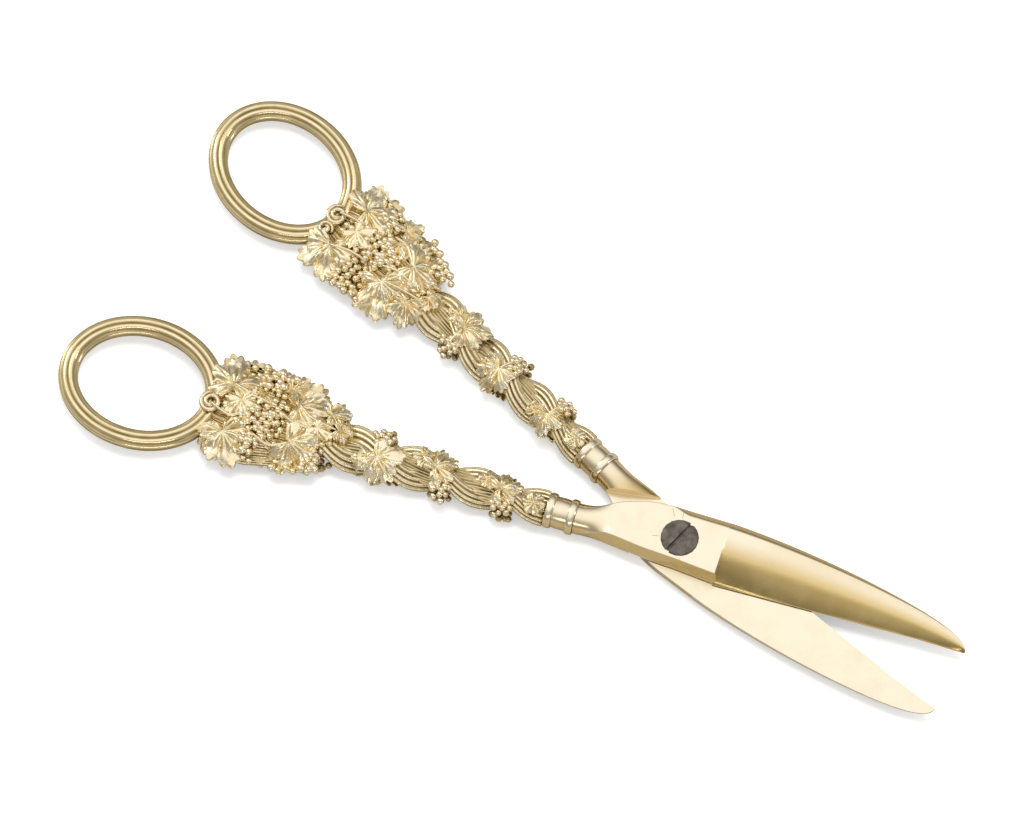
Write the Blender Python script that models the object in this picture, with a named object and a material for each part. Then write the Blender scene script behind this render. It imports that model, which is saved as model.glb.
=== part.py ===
"""Grape shears: two gilt halves that turn on one slotted screw.

Every half is built lying along X in its own half frame. The pivot axis is at
the origin, the blade points to +X and the handle to -X. The joint plane is
Z = 0, and the half's outer face is above it. The lower half is the same half
turned over about X, so its outer face looks down at the table. Each handle
lies along X in a handle frame, set a little outwards from the half frame, so
that the two handles clear each other when the blades are shut.
"""

import math

import bmesh
import bpy
import numpy as np
from mathutils import Matrix, Vector

mm = 0.001

# Clearances
clearance = 0.3 * mm
overrun = 1.0 * mm

# The pose
handle_angle = math.radians(13.8)
lower_blade_set = math.radians(-6.6)
handle_offset = 1.0 * mm

# Joint and bolster
half_thickness = 3.8 * mm
bolster_front = 8.5 * mm
bolster_back_reach = 5.9 * mm
bolster_edge_reach = 4.7 * mm
side_lean = 0.8 * mm
back_lean = 0.4 * mm
shoulder_tail = 18.5 * mm
shoulder_tail_reach = 3.2 * mm
shoulder_nose = 7.4 * mm
shoulder_nose_reach = 5.2 * mm
shoulder_depth = 1.3 * mm

# Blade
blade_length = 56.4 * mm
blade_edge_reach = 5.7 * mm
blade_tip_reach = 4.35 * mm
blade_crown = 3.3 * mm
blade_tip_thickness = 0.9 * mm
blade_tip_width = 0.35 * mm

# Screw
screw_head_radius = 3.55 * mm
screw_head_thickness = 1.5 * mm
screw_head_stand = 0.5 * mm
screw_radius = 2.0 * mm
slot_width = 0.75 * mm
slot_depth = 0.7 * mm
slot_angle = math.radians(78.6)

# Shank, tang and ferrule
shank_radius = 2.9 * mm
ferrule_front = 19.5 * mm
ferrule_length = 6.0 * mm
ferrule_radius = 2.95 * mm
band_radius = 3.4 * mm
band_length = 1.5 * mm
tang_radius = 1.7 * mm

# Vine strands
strand_width_at_ferrule = 3.4 * mm
strand_width_at_neck = 4.7 * mm
strand_thickness = 2.4 * mm
strand_lead = 1.6 * mm
spread_at_ferrule = 1.85 * mm
spread_at_neck = 2.5 * mm
spread_at_ring = 5.4 * mm
strand_rise = 1.4 * mm

# Finger ring
ring_distance = 105.4 * mm
ring_length = 32.0 * mm
ring_width = 26.4 * mm
ring_band = 3.9 * mm
ring_thickness = 3.6 * mm

# Vine ornament
head_length = 28.0 * mm
head_half_width = 10.5 * mm
head_leaf = 5.4 * mm
ground_thickness = 1.0 * mm
leaf_thickness = 0.9 * mm
leaf_relief = 0.45 * mm
rim_height = 1.5 * mm
bunch_reach = 2.9 * mm
bunch_height = 1.45 * mm
sprig_count = 3

# Facets
strand_stations = 34
ring_stations = 30
blade_stations = 12
turned_sides = 20
sleeve_sides = 16
bunch_sides = 8

# Sections and outlines, as shares of the sizes that they follow
strand_profile_shares = (
    (1.0, 0.0), (0.68, 0.70), (0.36, 0.66), (0.0, 1.0), (-0.36, 0.66), (-0.68, 0.70),
    (-1.0, 0.0), (-0.68, -0.70), (-0.36, -0.66), (0.0, -1.0), (0.36, -0.66), (0.68, -0.70),
)
ring_profile_shares = (
    (1.0, 0.0), (0.84, 0.62), (0.58, 0.60), (0.15, 1.0), (-0.35, 0.72), (-0.70, 0.78),
    (-1.0, 0.0), (-0.70, -0.78), (-0.35, -0.72), (0.15, -1.0), (0.58, -0.60), (0.84, -0.62),
)
blade_profile_shares = (
    (0.0, 0.0), (0.0, 0.08), (0.06, 0.24), (0.25, 0.58), (0.5, 0.86),
    (0.72, 1.0), (0.9, 0.95), (0.97, 0.74), (1.0, 0.42), (1.0, 0.0),
)
bolster_back_shares = (
    (0.0, 0.43), (0.17, 0.38), (0.35, 0.58), (0.53, 0.80), (0.67, 0.93), (1.0, 1.0),
)
bolster_edge_shares = (
    (0.0, 0.50), (0.17, 0.58), (0.35, 0.66), (0.53, 0.74), (0.67, 0.81), (1.0, 0.87),
)
leaf_half_outline_shares = (
    (0.0, 1.0), (20.0, 0.86), (33.0, 0.66), (55.0, 0.94), (76.0, 0.80), (93.0, 0.60),
    (126.0, 0.80), (180.0, 0.18),
)
bunch_rows_shares = ((1.0, 0.0), (0.96, 0.5), (0.6, 0.88))
ground_outline_shares = (
    (0.03, 0.0), (0.0, 0.35), (0.10, 0.78), (0.28, 0.80), (0.55, 0.62), (0.85, 0.42),
    (0.98, 0.2), (0.98, -0.2), (0.85, -0.42), (0.55, -0.62), (0.28, -0.80), (0.10, -0.78),
    (0.0, -0.35),
)

# The ornament of each face is laid out as that face is seen, blade to the right.
# Leaves of each head: place along, place across, size, and heading in degrees
outer_head_leaf_shares = (
    (0.12, 0.43, 1.0, 78.0), (0.20, 0.26, 0.62, 5.0), (0.16, -0.50, 1.05, -72.0),
    (0.58, 0.42, 0.98, 18.0), (0.63, -0.31, 0.95, -42.0),
)
inner_head_leaf_shares = (
    (0.14, 0.45, 0.95, 58.0), (0.13, -0.48, 1.05, -76.0), (0.66, 0.28, 0.98, 18.0),
    (0.59, -0.33, 0.95, -62.0), (0.83, -0.47, 0.5, -30.0),
)
# Grape bunches of each head: place along, place across, and size
outer_head_bunch_shares = (
    (0.40, 0.64, 0.95), (0.39, -0.03, 1.25), (0.41, -0.62, 0.95), (0.78, -0.54, 0.7),
)
inner_head_bunch_shares = (
    (0.39, 0.06, 1.25), (0.40, 0.58, 0.9), (0.40, -0.66, 1.0), (0.76, 0.54, 0.75),
)
# Sprigs, in leaf sizes: leaf along, across, size and heading, bunch along and across
outer_sprig_shares = (
    (0.2, -0.22, 1.0, -35.0, 0.2, 0.62),
    (0.0, 0.0, 0.95, 35.0, 0.50, -0.68),
    (0.0, 0.05, 0.85, 20.0, 0.30, -0.60),
)
inner_sprig_shares = (
    (0.2, 0.10, 1.0, 40.0, 0.25, -0.86),
    (0.0, -0.08, 0.95, -95.0, 0.34, 0.46),
    (0.0, -0.12, 0.85, -60.0, 0.42, 0.66),
)
# Powers that give the blade's plan: how late it tapers, and how blunt its point is
blade_taper = 1.65
blade_belly = 0.6
blade_straight_share = 0.8
blade_root_share = 0.3
squared_share = 0.2
shank_share = 0.67
blade_turn_start_share = 0.4
band_swell_share = 0.75
band_shoulder_share = 0.15
slot_chamfer_share = 0.06
drape_reach_share = 1.42
drape_power = 2.6
lobe_rise_share = 0.9
head_hold_share = 0.65
crumb_share = 0.05
flower_lobe_share = 0.82
knob_share = 0.13
bunch_stretch_share = 1.15
sprig_bunch_share = 0.16
sprig_lead_share = 0.13
sprig_leaf_share = 0.39
flower_share = 0.18
flower_lead_share = 0.7

# Worked out from the sizes above
half_gap = clearance / 2
joint_height = half_thickness
blade_back_reach = bolster_back_reach + back_lean
handle_turn = -math.asin(handle_offset / ring_distance)
handle_place = Matrix.Translation((0, -handle_offset, 0)) @ Matrix.Rotation(handle_turn, 4, "Z")
ferrule_back = ferrule_front + ferrule_length
strand_front = ferrule_back + clearance
phase_start = ferrule_back + strand_lead
ring_outer = Vector((ring_length / 2, ring_width / 2))
ring_middle = ring_outer - Vector((ring_band / 2, ring_band / 2))
crest_height = strand_rise + strand_thickness / 2 + clearance + leaf_thickness / 2
head_back = ring_distance - ring_outer.x + ring_band * head_hold_share
neck_distance = head_back - head_length
strand_pitch = (neck_distance - phase_start) / sprig_count
sprig_lead = strand_pitch * sprig_lead_share
sprig_leaf = strand_pitch * sprig_leaf_share
sprig_bunch = strand_pitch * sprig_bunch_share
flower_radius = strand_pitch * flower_share
flower_distance = phase_start + flower_radius * flower_lead_share


# Small helpers

def clear_scene():
    for thing in list(bpy.data.objects):
        bpy.data.objects.remove(thing, do_unlink=True)


def material(name, colour, metallic, roughness):
    finish = bpy.data.materials.new(name)
    finish.use_nodes = True
    shader = finish.node_tree.nodes["Principled BSDF"]
    shader.inputs["Base Color"].default_value = (*colour, 1.0)
    shader.inputs["Metallic"].default_value = metallic
    shader.inputs["Roughness"].default_value = roughness
    return finish


def ease(share):
    share = min(max(share, 0.0), 1.0)
    return share * share * (3 - 2 * share)


def blend(start, end, share):
    return start + (end - start) * share


def table_value(table, share):
    places, values = zip(*table)
    return float(np.interp(share, places, values))


def turned(point, angle):
    return Vector(point) @ Matrix.Rotation(-angle, 2)


def mesh_from(shape, name, sharp_angle=math.radians(38)):
    bmesh.ops.recalc_face_normals(shape, faces=shape.faces)
    mesh = bpy.data.meshes.new(name)
    shape.to_mesh(mesh)
    shape.free()
    mesh.shade_smooth()
    mesh.set_sharp_from_angle(angle=sharp_angle)
    return mesh


def loft(rings, closed=False):
    """Skin a run of rings of points. An open run is capped at both ends."""
    shape = bmesh.new()
    loops = [[shape.verts.new(point) for point in ring] for ring in rings]
    count = len(loops[0])
    pairs = list(zip(loops, loops[1:]))
    if closed:
        pairs.append((loops[-1], loops[0]))
    for near, far in pairs:
        for index in range(count):
            following = (index + 1) % count
            shape.faces.new((near[index], near[following], far[following], far[index]))
    if not closed:
        shape.faces.new(list(reversed(loops[0])))
        shape.faces.new(loops[-1])
    return shape


def prism(outline, low, high):
    """Extrude a plan outline between two heights."""
    shape = bmesh.new()
    base = shape.faces.new([shape.verts.new((x, y, low)) for x, y in outline])
    raised = bmesh.ops.extrude_face_region(shape, geom=[base])["geom"]
    corners = [item for item in raised if isinstance(item, bmesh.types.BMVert)]
    bmesh.ops.translate(shape, vec=(0, 0, high - low), verts=corners)
    return shape


def spun(profile, axis, sides=turned_sides):
    """Turn a profile of (along, radius) points about the X or Z axis."""
    shape = bmesh.new()
    if axis == "X":
        points = [(along, 0, radius) for along, radius in profile]
        direction = (1, 0, 0)
    else:
        points = [(radius, 0, along) for along, radius in profile]
        direction = (0, 0, 1)
    corners = [shape.verts.new(point) for point in points]
    edges = [shape.edges.new(pair) for pair in zip(corners, corners[1:] + corners[:1])]
    bmesh.ops.spin(
        shape, geom=corners + edges, cent=(0, 0, 0), axis=direction,
        angle=math.tau, steps=sides, use_merge=True,
    )
    bmesh.ops.remove_doubles(shape, verts=shape.verts, dist=clearance / 100)
    return shape


def drop_crumbs(mesh):
    """Drop the slivers that a cut can leave loose beside the main body."""
    shape = bmesh.new()
    shape.from_mesh(mesh)
    left = set(shape.verts)
    bodies = []
    while left:
        front = [left.pop()]
        body = list(front)
        while front:
            for edge in front.pop().link_edges:
                for corner in edge.verts:
                    if corner in left:
                        left.remove(corner)
                        front.append(corner)
                        body.append(corner)
        bodies.append(body)
    most = max(len(body) for body in bodies)
    for body in bodies:
        if len(body) < most * crumb_share:
            bmesh.ops.delete(shape, geom=body, context="VERTS")
    shape.to_mesh(mesh)
    shape.free()


def combined(name, base, joined=(), cut=(), cut_solver="EXACT"):
    """One closed mesh: the base with shapes joined to it and shapes cut away."""
    scene = bpy.context.scene
    helpers = bpy.data.collections.new(name + "_parts")
    scene.collection.children.link(helpers)
    body = bpy.data.objects.new(name + "_body", base)
    scene.collection.objects.link(body)
    guides = [body]
    for mesh in joined:
        part = bpy.data.objects.new(name + "_part", mesh)
        helpers.objects.link(part)
        guides.append(part)
    if joined:
        union = body.modifiers.new("joined", "BOOLEAN")
        union.operation = "UNION"
        union.solver = "EXACT"
        union.operand_type = "COLLECTION"
        union.collection = helpers
    for mesh in cut:
        cutter = bpy.data.objects.new(name + "_cutter", mesh)
        scene.collection.objects.link(cutter)
        guides.append(cutter)
        difference = body.modifiers.new("cut", "BOOLEAN")
        difference.operation = "DIFFERENCE"
        difference.solver = cut_solver
        difference.object = cutter
    bpy.context.view_layer.update()
    view = bpy.context.evaluated_depsgraph_get()
    mesh = bpy.data.meshes.new_from_object(body.evaluated_get(view))
    mesh.name = name
    for guide in guides:
        bpy.data.objects.remove(guide, do_unlink=True)
    bpy.data.collections.remove(helpers)
    drop_crumbs(mesh)
    mesh.shade_smooth()
    mesh.set_sharp_from_angle(angle=math.radians(38))
    return mesh


# Blade, bolster and shank

def handle_line_at(along):
    """How far across the half frame the middle line of the handle lies."""
    return along * math.tan(handle_turn) - handle_offset


def bolster_section(along, blade_set):
    """One section of shank and bolster: flat on top, rounded below the joint."""
    run = (along + ferrule_front) / ferrule_front
    square = ease(run / squared_share)
    fade = max(1.0 - run / shank_share, 0.0)
    back_top = bolster_back_reach * table_value(bolster_back_shares, min(run, 1.0))
    edge_top = -bolster_edge_reach * table_value(bolster_edge_shares, min(run, 1.0))
    if along > 0:
        edge_top = blend(edge_top, -bolster_edge_reach, along / bolster_front)
    back_foot = back_top + back_lean
    edge_foot = edge_top - side_lean
    depth = blend(shoulder_depth, shank_radius, fade)
    middle = (back_foot + edge_foot) / 2
    quarter = sleeve_sides // 4
    side_points = {
        0: (back_foot, 0.0),
        1: (blend(back_foot, back_top, 0.5), half_thickness / 2),
        2 * quarter - 1: (blend(edge_foot, edge_top, 0.5), half_thickness / 2),
        2 * quarter: (edge_foot, 0.0),
    }
    turn = blade_set * ease((run - blade_turn_start_share) / (1 - blade_turn_start_share))
    section = []
    for step in range(sleeve_sides):
        angle = math.tau * step / sleeve_sides
        if step in side_points:
            across, height = side_points[step]
        elif step < 2 * quarter:
            share = (step - 2) / (2 * quarter - 4)
            across, height = blend(back_top, edge_top, share), half_thickness
        else:
            across = middle + (back_foot - edge_foot) / 2 * math.cos(angle)
            height = depth * math.sin(angle)
        round_across = handle_line_at(along) + shank_radius * math.cos(angle)
        x, y = turned((along, blend(round_across, across, square)), turn)
        section.append((x, y, blend(shank_radius * math.sin(angle), height, square)))
    return section


def bolster_shape(blade_set):
    front = [bolster_front * share for share in (0.0, 1.0)]
    back = [-ferrule_front * share for share in (1.0, 0.92, 0.84, 0.68, 0.5, 0.34, 0.17)]
    return loft([bolster_section(along, blade_set) for along in back + front])


def blade_shape(blade_set):
    """Half-round blade: a convex outer face, a bevelled edge and a chamfered back."""
    start = bolster_front * blade_root_share
    rings = []
    for station in range(blade_stations):
        share = station / (blade_stations - 1)
        share = 1 - (1 - share) ** 1.5
        along = blend(start, blade_length, share)
        run = max(along - bolster_front, 0.0) / (blade_length - bolster_front)
        edge = -blend(blade_edge_reach, blade_tip_reach, min(run / blade_straight_share, 1.0))
        fullness = max(1 - run ** blade_taper, 0.0) ** blade_belly
        width = max((blade_back_reach - edge) * fullness, blade_tip_width)
        crown = blend(blade_crown, blade_tip_thickness, run)
        ring = []
        for across, height in blade_profile_shares:
            x, y = turned((along, edge + width * across), blade_set)
            ring.append((x, y, crown * height))
        rings.append(ring)
    return loft(rings)


def joint_cutter():
    """Clears the far side of the joint plane, from the shoulder wall forwards."""
    tail = Vector((-shoulder_tail, shoulder_tail_reach))
    nose = Vector((-shoulder_nose, -shoulder_nose_reach))
    along = (nose - tail).normalized()
    tail = tail - along * shoulder_nose_reach / 2
    nose = nose + along * shoulder_nose_reach
    side = bolster_back_reach * 3
    front = blade_length + overrun
    outline = [tail, nose, (nose.x, -side), (front, -side), (front, side), (tail.x, side)]
    return prism(outline, -half_thickness - overrun, half_gap)


def blade_mesh(name, blade_set, has_head_recess):
    bolster = mesh_from(bolster_shape(blade_set), name + "_bolster")
    blade = mesh_from(blade_shape(blade_set), name + "_blade")
    tang_profile = [
        (-ferrule_back, 0.0), (-ferrule_back, tang_radius),
        (-ferrule_front + tang_radius, tang_radius), (-ferrule_front + tang_radius, 0.0),
    ]
    tang = mesh_from(spun(tang_profile, "X"), name + "_tang")
    tang.transform(handle_place)
    hole_radius = screw_radius + clearance
    hole = spun([
        (-half_thickness, 0.0), (-half_thickness, hole_radius),
        (half_thickness + overrun, hole_radius), (half_thickness + overrun, 0.0),
    ], "Z")
    cutters = [mesh_from(joint_cutter(), name + "_joint"), mesh_from(hole, name + "_hole")]
    if has_head_recess:
        floor = half_thickness + screw_head_stand - screw_head_thickness - clearance
        wall = screw_head_radius + clearance
        recess = spun([
            (floor, 0.0), (floor, wall),
            (half_thickness + overrun, wall), (half_thickness + overrun, 0.0),
        ], "Z")
        cutters.append(mesh_from(recess, name + "_recess"))
    return combined(name, bolster, joined=[blade, tang], cut=cutters)


# Ferrule and screw

def ferrule_mesh():
    """Turned collar: a convex band at each end and a bore for the tang."""
    bore = tang_radius + clearance
    swell = ferrule_radius + (band_radius - ferrule_radius) * band_swell_share
    shoulder = band_length * band_shoulder_share
    back, front = -ferrule_back, -ferrule_front - clearance
    profile = [(back, bore)]
    for start in (back, front - band_length):
        profile += [
            (start, ferrule_radius), (start + shoulder, swell),
            (start + band_length / 2, band_radius),
            (start + band_length - shoulder, swell), (start + band_length, ferrule_radius),
        ]
    profile += [(front, bore)]
    return mesh_from(spun(profile, "X"), "ferrule")


def screw_mesh():
    """Slotted screw, upright, with the joint plane at Z = 0 and its end flush below."""
    top = half_thickness + screw_head_stand
    seat = top - screw_head_thickness
    edge = screw_head_radius * slot_chamfer_share
    profile = [
        (-joint_height, 0.0), (-joint_height, screw_radius), (seat, screw_radius),
        (seat, screw_head_radius), (top - edge * 2, screw_head_radius),
        (top - edge, screw_head_radius - edge), (top, screw_head_radius * 0.6), (top, 0.0),
    ]
    body = mesh_from(spun(profile, "Z"), "screw_body")
    reach = screw_head_radius + overrun
    half = slot_width / 2
    corners = [(-reach, -half), (reach, -half), (reach, half), (-reach, half)]
    outline = [turned(corner, slot_angle) for corner in corners]
    slot = mesh_from(prism(outline, top - slot_depth, top + overrun), "screw_slot")
    return combined("pivot_screw", body, cut=[slot])


# Vine strands and finger ring

def neck_share(along):
    share = (along - strand_front) / (neck_distance - strand_front)
    return min(max(share, 0.0), 1.0)


def spread_at(along):
    """How far a strand swings to each side of the handle line."""
    head_run = (along - neck_distance) / head_length
    stem = blend(spread_at_ferrule, spread_at_neck, neck_share(along))
    return blend(stem, spread_at_ring, ease(head_run))


def strand_half_width_at(along):
    return blend(strand_width_at_ferrule, strand_width_at_neck, neck_share(along)) / 2


def strand_mesh(name, side, ring_room):
    """One of two reeded strands laid round each other like a rope."""
    rings = []
    end = ring_distance - ring_middle.x
    for station in range(strand_stations):
        along = blend(strand_front, end, station / (strand_stations - 1))
        phase = math.pi * (along - phase_start) / strand_pitch
        settling = ease((end - along) / (strand_pitch / 2))
        across = side * spread_at(along) * math.cos(phase)
        height = -side * strand_rise * settling * math.sin(phase)
        ring = []
        for wide, thick in strand_profile_shares:
            ring.append((
                -along,
                across + wide * strand_half_width_at(along),
                height + thick * strand_thickness / 2,
            ))
        rings.append(ring)
    return combined(name, mesh_from(loft(rings), name + "_bare"), cut=[ring_room])


def ring_shape():
    """Oval ring of reeded section."""
    rings = []
    for station in range(ring_stations):
        angle = math.tau * station / ring_stations
        centre = Vector((ring_middle.x * math.cos(angle), ring_middle.y * math.sin(angle)))
        out = Vector((
            math.cos(angle) / ring_middle.x, math.sin(angle) / ring_middle.y,
        )).normalized()
        ring = []
        for wide, thick in ring_profile_shares:
            place = centre + out * wide * ring_band / 2
            ring.append((place.x - ring_distance, place.y, thick * ring_thickness / 2))
        rings.append(ring)
    return loft(rings, closed=True)


def ring_room_shape():
    """Oval block that keeps strands and leaves clear of the ring and of its opening."""
    outline = []
    for station in range(ring_stations):
        angle = math.tau * station / ring_stations
        outline.append((
            (ring_outer.x + clearance) * math.cos(angle) - ring_distance,
            (ring_outer.y + clearance) * math.sin(angle),
        ))
    half = ring_thickness / 2 + clearance
    return prism(outline, -half, half)


# Vine ornament

def drape(along, across):
    """Height of the ornament's face over the strands, falling off to its rim."""
    half = spread_at(along) + strand_half_width_at(along)
    fall = (abs(across) / (half * drape_reach_share)) ** drape_power
    return max(crest_height * (1 - fall), rim_height)


def plate(outline, middle, thickness, relief):
    """Thin domed plate over the strands. Outline points hold along, across and lift."""
    shape = bmesh.new()
    top_rim, low_rim = [], []
    for along, across, lift in outline:
        height = drape(along, across) + lift
        top_rim.append(shape.verts.new((-along, across, height)))
        low_rim.append(shape.verts.new((-along, across, height - thickness)))
    height = drape(*middle) + relief
    top = shape.verts.new((-middle[0], middle[1], height))
    low = shape.verts.new((-middle[0], middle[1], height - thickness - relief))
    count = len(outline)
    for index in range(count):
        following = (index + 1) % count
        shape.faces.new((top, top_rim[index], top_rim[following]))
        shape.faces.new((low, low_rim[following], low_rim[index]))
        shape.faces.new((
            top_rim[index], low_rim[index], low_rim[following], top_rim[following],
        ))
    return shape


def leaf(along, across, size, heading):
    """Five-lobed vine leaf. Its lobes stand up as ridges between its notches."""
    half = list(leaf_half_outline_shares)
    outline_shares = half + [(-angle, reach) for angle, reach in half[-2:0:-1]]
    outline = []
    for angle, reach in outline_shares:
        direction = math.radians(heading + angle)
        lift = leaf_relief * (reach - lobe_rise_share)
        outline.append((
            along - size * reach * math.cos(direction),
            across + size * reach * math.sin(direction),
            lift,
        ))
    return plate(outline, (along, across), leaf_thickness, leaf_relief / 2)


def bunch(along, across, reach):
    """Bunch of grapes as one knobbly dome: every other point stands out as a grape."""
    shape = bmesh.new()
    foot = drape(along, across) - ground_thickness
    rows = []
    for row, (wide, high) in enumerate(bunch_rows_shares):
        ring = []
        for step in range(bunch_sides):
            knob = 1 + knob_share * (-1) ** (row + step)
            angle = math.tau * step / bunch_sides
            out = reach * wide * knob
            ring.append(shape.verts.new((
                -along + out * bunch_stretch_share * math.cos(angle),
                across + out * math.sin(angle),
                foot + bunch_height * high * knob,
            )))
        rows.append(ring)
    for low, high in zip(rows, rows[1:]):
        for step in range(bunch_sides):
            following = (step + 1) % bunch_sides
            shape.faces.new((low[step], low[following], high[following], high[step]))
    shape.faces.new(list(reversed(rows[0])))
    top = shape.verts.new((-along, across, foot + bunch_height))
    for step in range(bunch_sides):
        shape.faces.new((rows[-1][step], rows[-1][(step + 1) % bunch_sides], top))
    return shape


def head_meshes(name, leaf_shares, bunch_shares, cutters):
    ground = []
    for along, across in ground_outline_shares:
        ground.append((head_back - head_length * along, head_half_width * across, 0.0))
    middle = (head_back - head_length / 2, 0.0)
    base = plate(
        [(along, across, -leaf_relief) for along, across, lift in ground], middle,
        ground_thickness, 0.0,
    )
    added = []
    for along, across, size, heading in leaf_shares:
        place = (head_back - head_length * along, head_half_width * across)
        added.append(leaf(*place, head_leaf * size, heading))
    for along, across, size in bunch_shares:
        place = (head_back - head_length * along, head_half_width * across)
        added.append(bunch(*place, bunch_reach * size))
    joined = [mesh_from(shape, name + "_part") for shape in added]
    ground_mesh = mesh_from(base, name + "_ground")
    return combined(name, ground_mesh, joined=joined, cut=cutters, cut_solver="MANIFOLD")


def sprig_mesh(name, distance, shares, cutters):
    along, across, size, heading, bunch_along, bunch_across = shares
    place = (distance - sprig_leaf * along, sprig_leaf * across)
    base = leaf(*place, sprig_leaf * size, heading)
    cluster = (distance - sprig_leaf * bunch_along, sprig_leaf * bunch_across)
    grapes = mesh_from(bunch(*cluster, sprig_bunch), name + "_bunch")
    leaf_mesh = mesh_from(base, name + "_leaf")
    return combined(name, leaf_mesh, joined=[grapes], cut=cutters, cut_solver="MANIFOLD")


def flower_mesh(cutters):
    outline = []
    for step in range(10):
        angle = math.tau * step / 10
        reach = flower_radius * (1.0 if step % 2 == 0 else flower_lobe_share)
        outline.append((
            flower_distance - reach * math.cos(angle), reach * math.sin(angle), -leaf_relief,
        ))
    base = plate(outline, (flower_distance, 0.0), leaf_thickness, 0.0)
    return combined("flower", mesh_from(base, "flower_plate"), cut=cutters)


def sleeve_mesh():
    """Room round both strands, which every ornament is hollowed by."""
    rings = []
    start = strand_front - overrun
    end = ring_distance - ring_middle.x
    round_up = 1 / math.cos(math.pi / sleeve_sides)
    stations = 14
    for station in range(stations):
        along = blend(start, end, station / (stations - 1))
        wide = (spread_at(along) + strand_half_width_at(along) + clearance) * round_up
        high = (strand_rise + strand_thickness / 2 + clearance) * round_up
        ring = []
        for step in range(sleeve_sides):
            angle = math.tau * step / sleeve_sides
            ring.append((-along, wide * math.cos(angle), high * math.sin(angle)))
        rings.append(ring)
    return mesh_from(loft(rings), "strand_room")


def floor_cutter():
    """Trims an ornament so that it stays on its own side of the joint plane."""
    side = head_half_width * 2
    low, high = -head_back - head_leaf * 2, 0.0
    outline = [(low, -side), (high, -side), (high, side), (low, side)]
    return mesh_from(prism(outline, -half_thickness, half_gap), "joint_side")


# Assembly

def put(name, mesh, finish, holder, flipped=False):
    thing = bpy.data.objects.new(name, mesh)
    bpy.context.scene.collection.objects.link(thing)
    thing.parent = holder
    if flipped:
        thing.rotation_euler = (math.pi, 0, 0)
    if not mesh.materials:
        mesh.materials.append(finish)
    return thing


def half_holder(name, turn_over, angle):
    """Empty on the pivot axis at the joint plane, one for each half."""
    empty = bpy.data.objects.new(name, None)
    bpy.context.scene.collection.objects.link(empty)
    empty.location = (0, 0, joint_height)
    empty.rotation_euler = (math.pi if turn_over else 0, 0, angle)
    return empty


def handle_holder(name, half):
    """Empty that carries one half's handle beside the half's own line."""
    empty = bpy.data.objects.new(name, None)
    bpy.context.scene.collection.objects.link(empty)
    empty.parent = half
    empty.location = (0, -handle_offset, 0)
    empty.rotation_euler = (0, 0, handle_turn)
    return empty


def build():
    clear_scene()
    polished = material("polished_gilt", (0.86, 0.70, 0.40), 1.0, 0.22)
    cast = material("cast_gilt", (0.80, 0.62, 0.30), 1.0, 0.34)
    steel = material("dark_steel", (0.10, 0.09, 0.08), 1.0, 0.45)

    upper = half_holder("upper_half", False, handle_angle)
    lower = half_holder("lower_half", True, -handle_angle)
    handles = {
        "upper": handle_holder("upper_handle", upper),
        "lower": handle_holder("lower_handle", lower),
    }

    put("upper_blade", blade_mesh("upper_blade", 0.0, True), polished, upper)
    put("lower_blade", blade_mesh("lower_blade", lower_blade_set, False), polished, lower)

    screw = put("pivot_screw", screw_mesh(), steel, None)
    screw.location = (0, 0, joint_height)

    ring_room = mesh_from(ring_room_shape(), "ring_room")
    ornament_cutters = [sleeve_mesh(), ring_room, floor_cutter()]
    stem_cutters = [ornament_cutters[0], ornament_cutters[2]]
    ferrule = ferrule_mesh()
    ring = mesh_from(ring_shape(), "finger_ring")
    strands = [
        strand_mesh(f"vine_strand_{number}", side, ring_room)
        for number, side in enumerate((1, -1), 1)
    ]
    heads = {
        "outer": head_meshes(
            "outer_head", outer_head_leaf_shares, outer_head_bunch_shares, ornament_cutters),
        "inner": head_meshes(
            "inner_head", inner_head_leaf_shares, inner_head_bunch_shares, ornament_cutters),
    }
    crossings = [phase_start + strand_pitch * (turn + 0.5) for turn in range(sprig_count)]
    distances = [crossing + sprig_lead for crossing in reversed(crossings)]
    sprigs = {}
    for face, table in (("outer", outer_sprig_shares), ("inner", inner_sprig_shares)):
        sprigs[face] = [
            sprig_mesh(f"{face}_sprig_{number}", distance, shares, stem_cutters)
            for number, (distance, shares) in enumerate(zip(distances, table), 1)
        ]
    flower = flower_mesh(stem_cutters)

    for half, carrier in handles.items():
        put(f"{half}_ferrule", ferrule, polished, carrier)
        put(f"{half}_finger_ring", ring, cast, carrier)
        for number, strand in enumerate(strands, 1):
            put(f"{half}_vine_strand_{number}", strand, cast, carrier)
        for face in ("outer", "inner"):
            flipped = face == "inner"
            put(f"{half}_{face}_leaf_spray", heads[face], cast, carrier, flipped)
            for number, mesh in enumerate(sprigs[face], 1):
                put(f"{half}_{face}_sprig_{number}", mesh, cast, carrier, flipped)
            put(f"{half}_{face}_collar_flower", flower, cast, carrier, flipped)
    bpy.context.view_layer.update()


build()
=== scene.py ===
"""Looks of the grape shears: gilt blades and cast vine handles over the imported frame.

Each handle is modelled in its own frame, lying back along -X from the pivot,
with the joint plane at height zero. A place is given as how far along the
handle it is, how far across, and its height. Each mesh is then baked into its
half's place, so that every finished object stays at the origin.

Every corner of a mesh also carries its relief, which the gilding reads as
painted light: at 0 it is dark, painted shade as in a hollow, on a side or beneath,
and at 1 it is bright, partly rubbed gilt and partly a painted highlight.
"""

import math
import random

import bmesh
import bpy
from mathutils import Matrix, Vector, noise
from mathutils.geometry import interpolate_bezier


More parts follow.
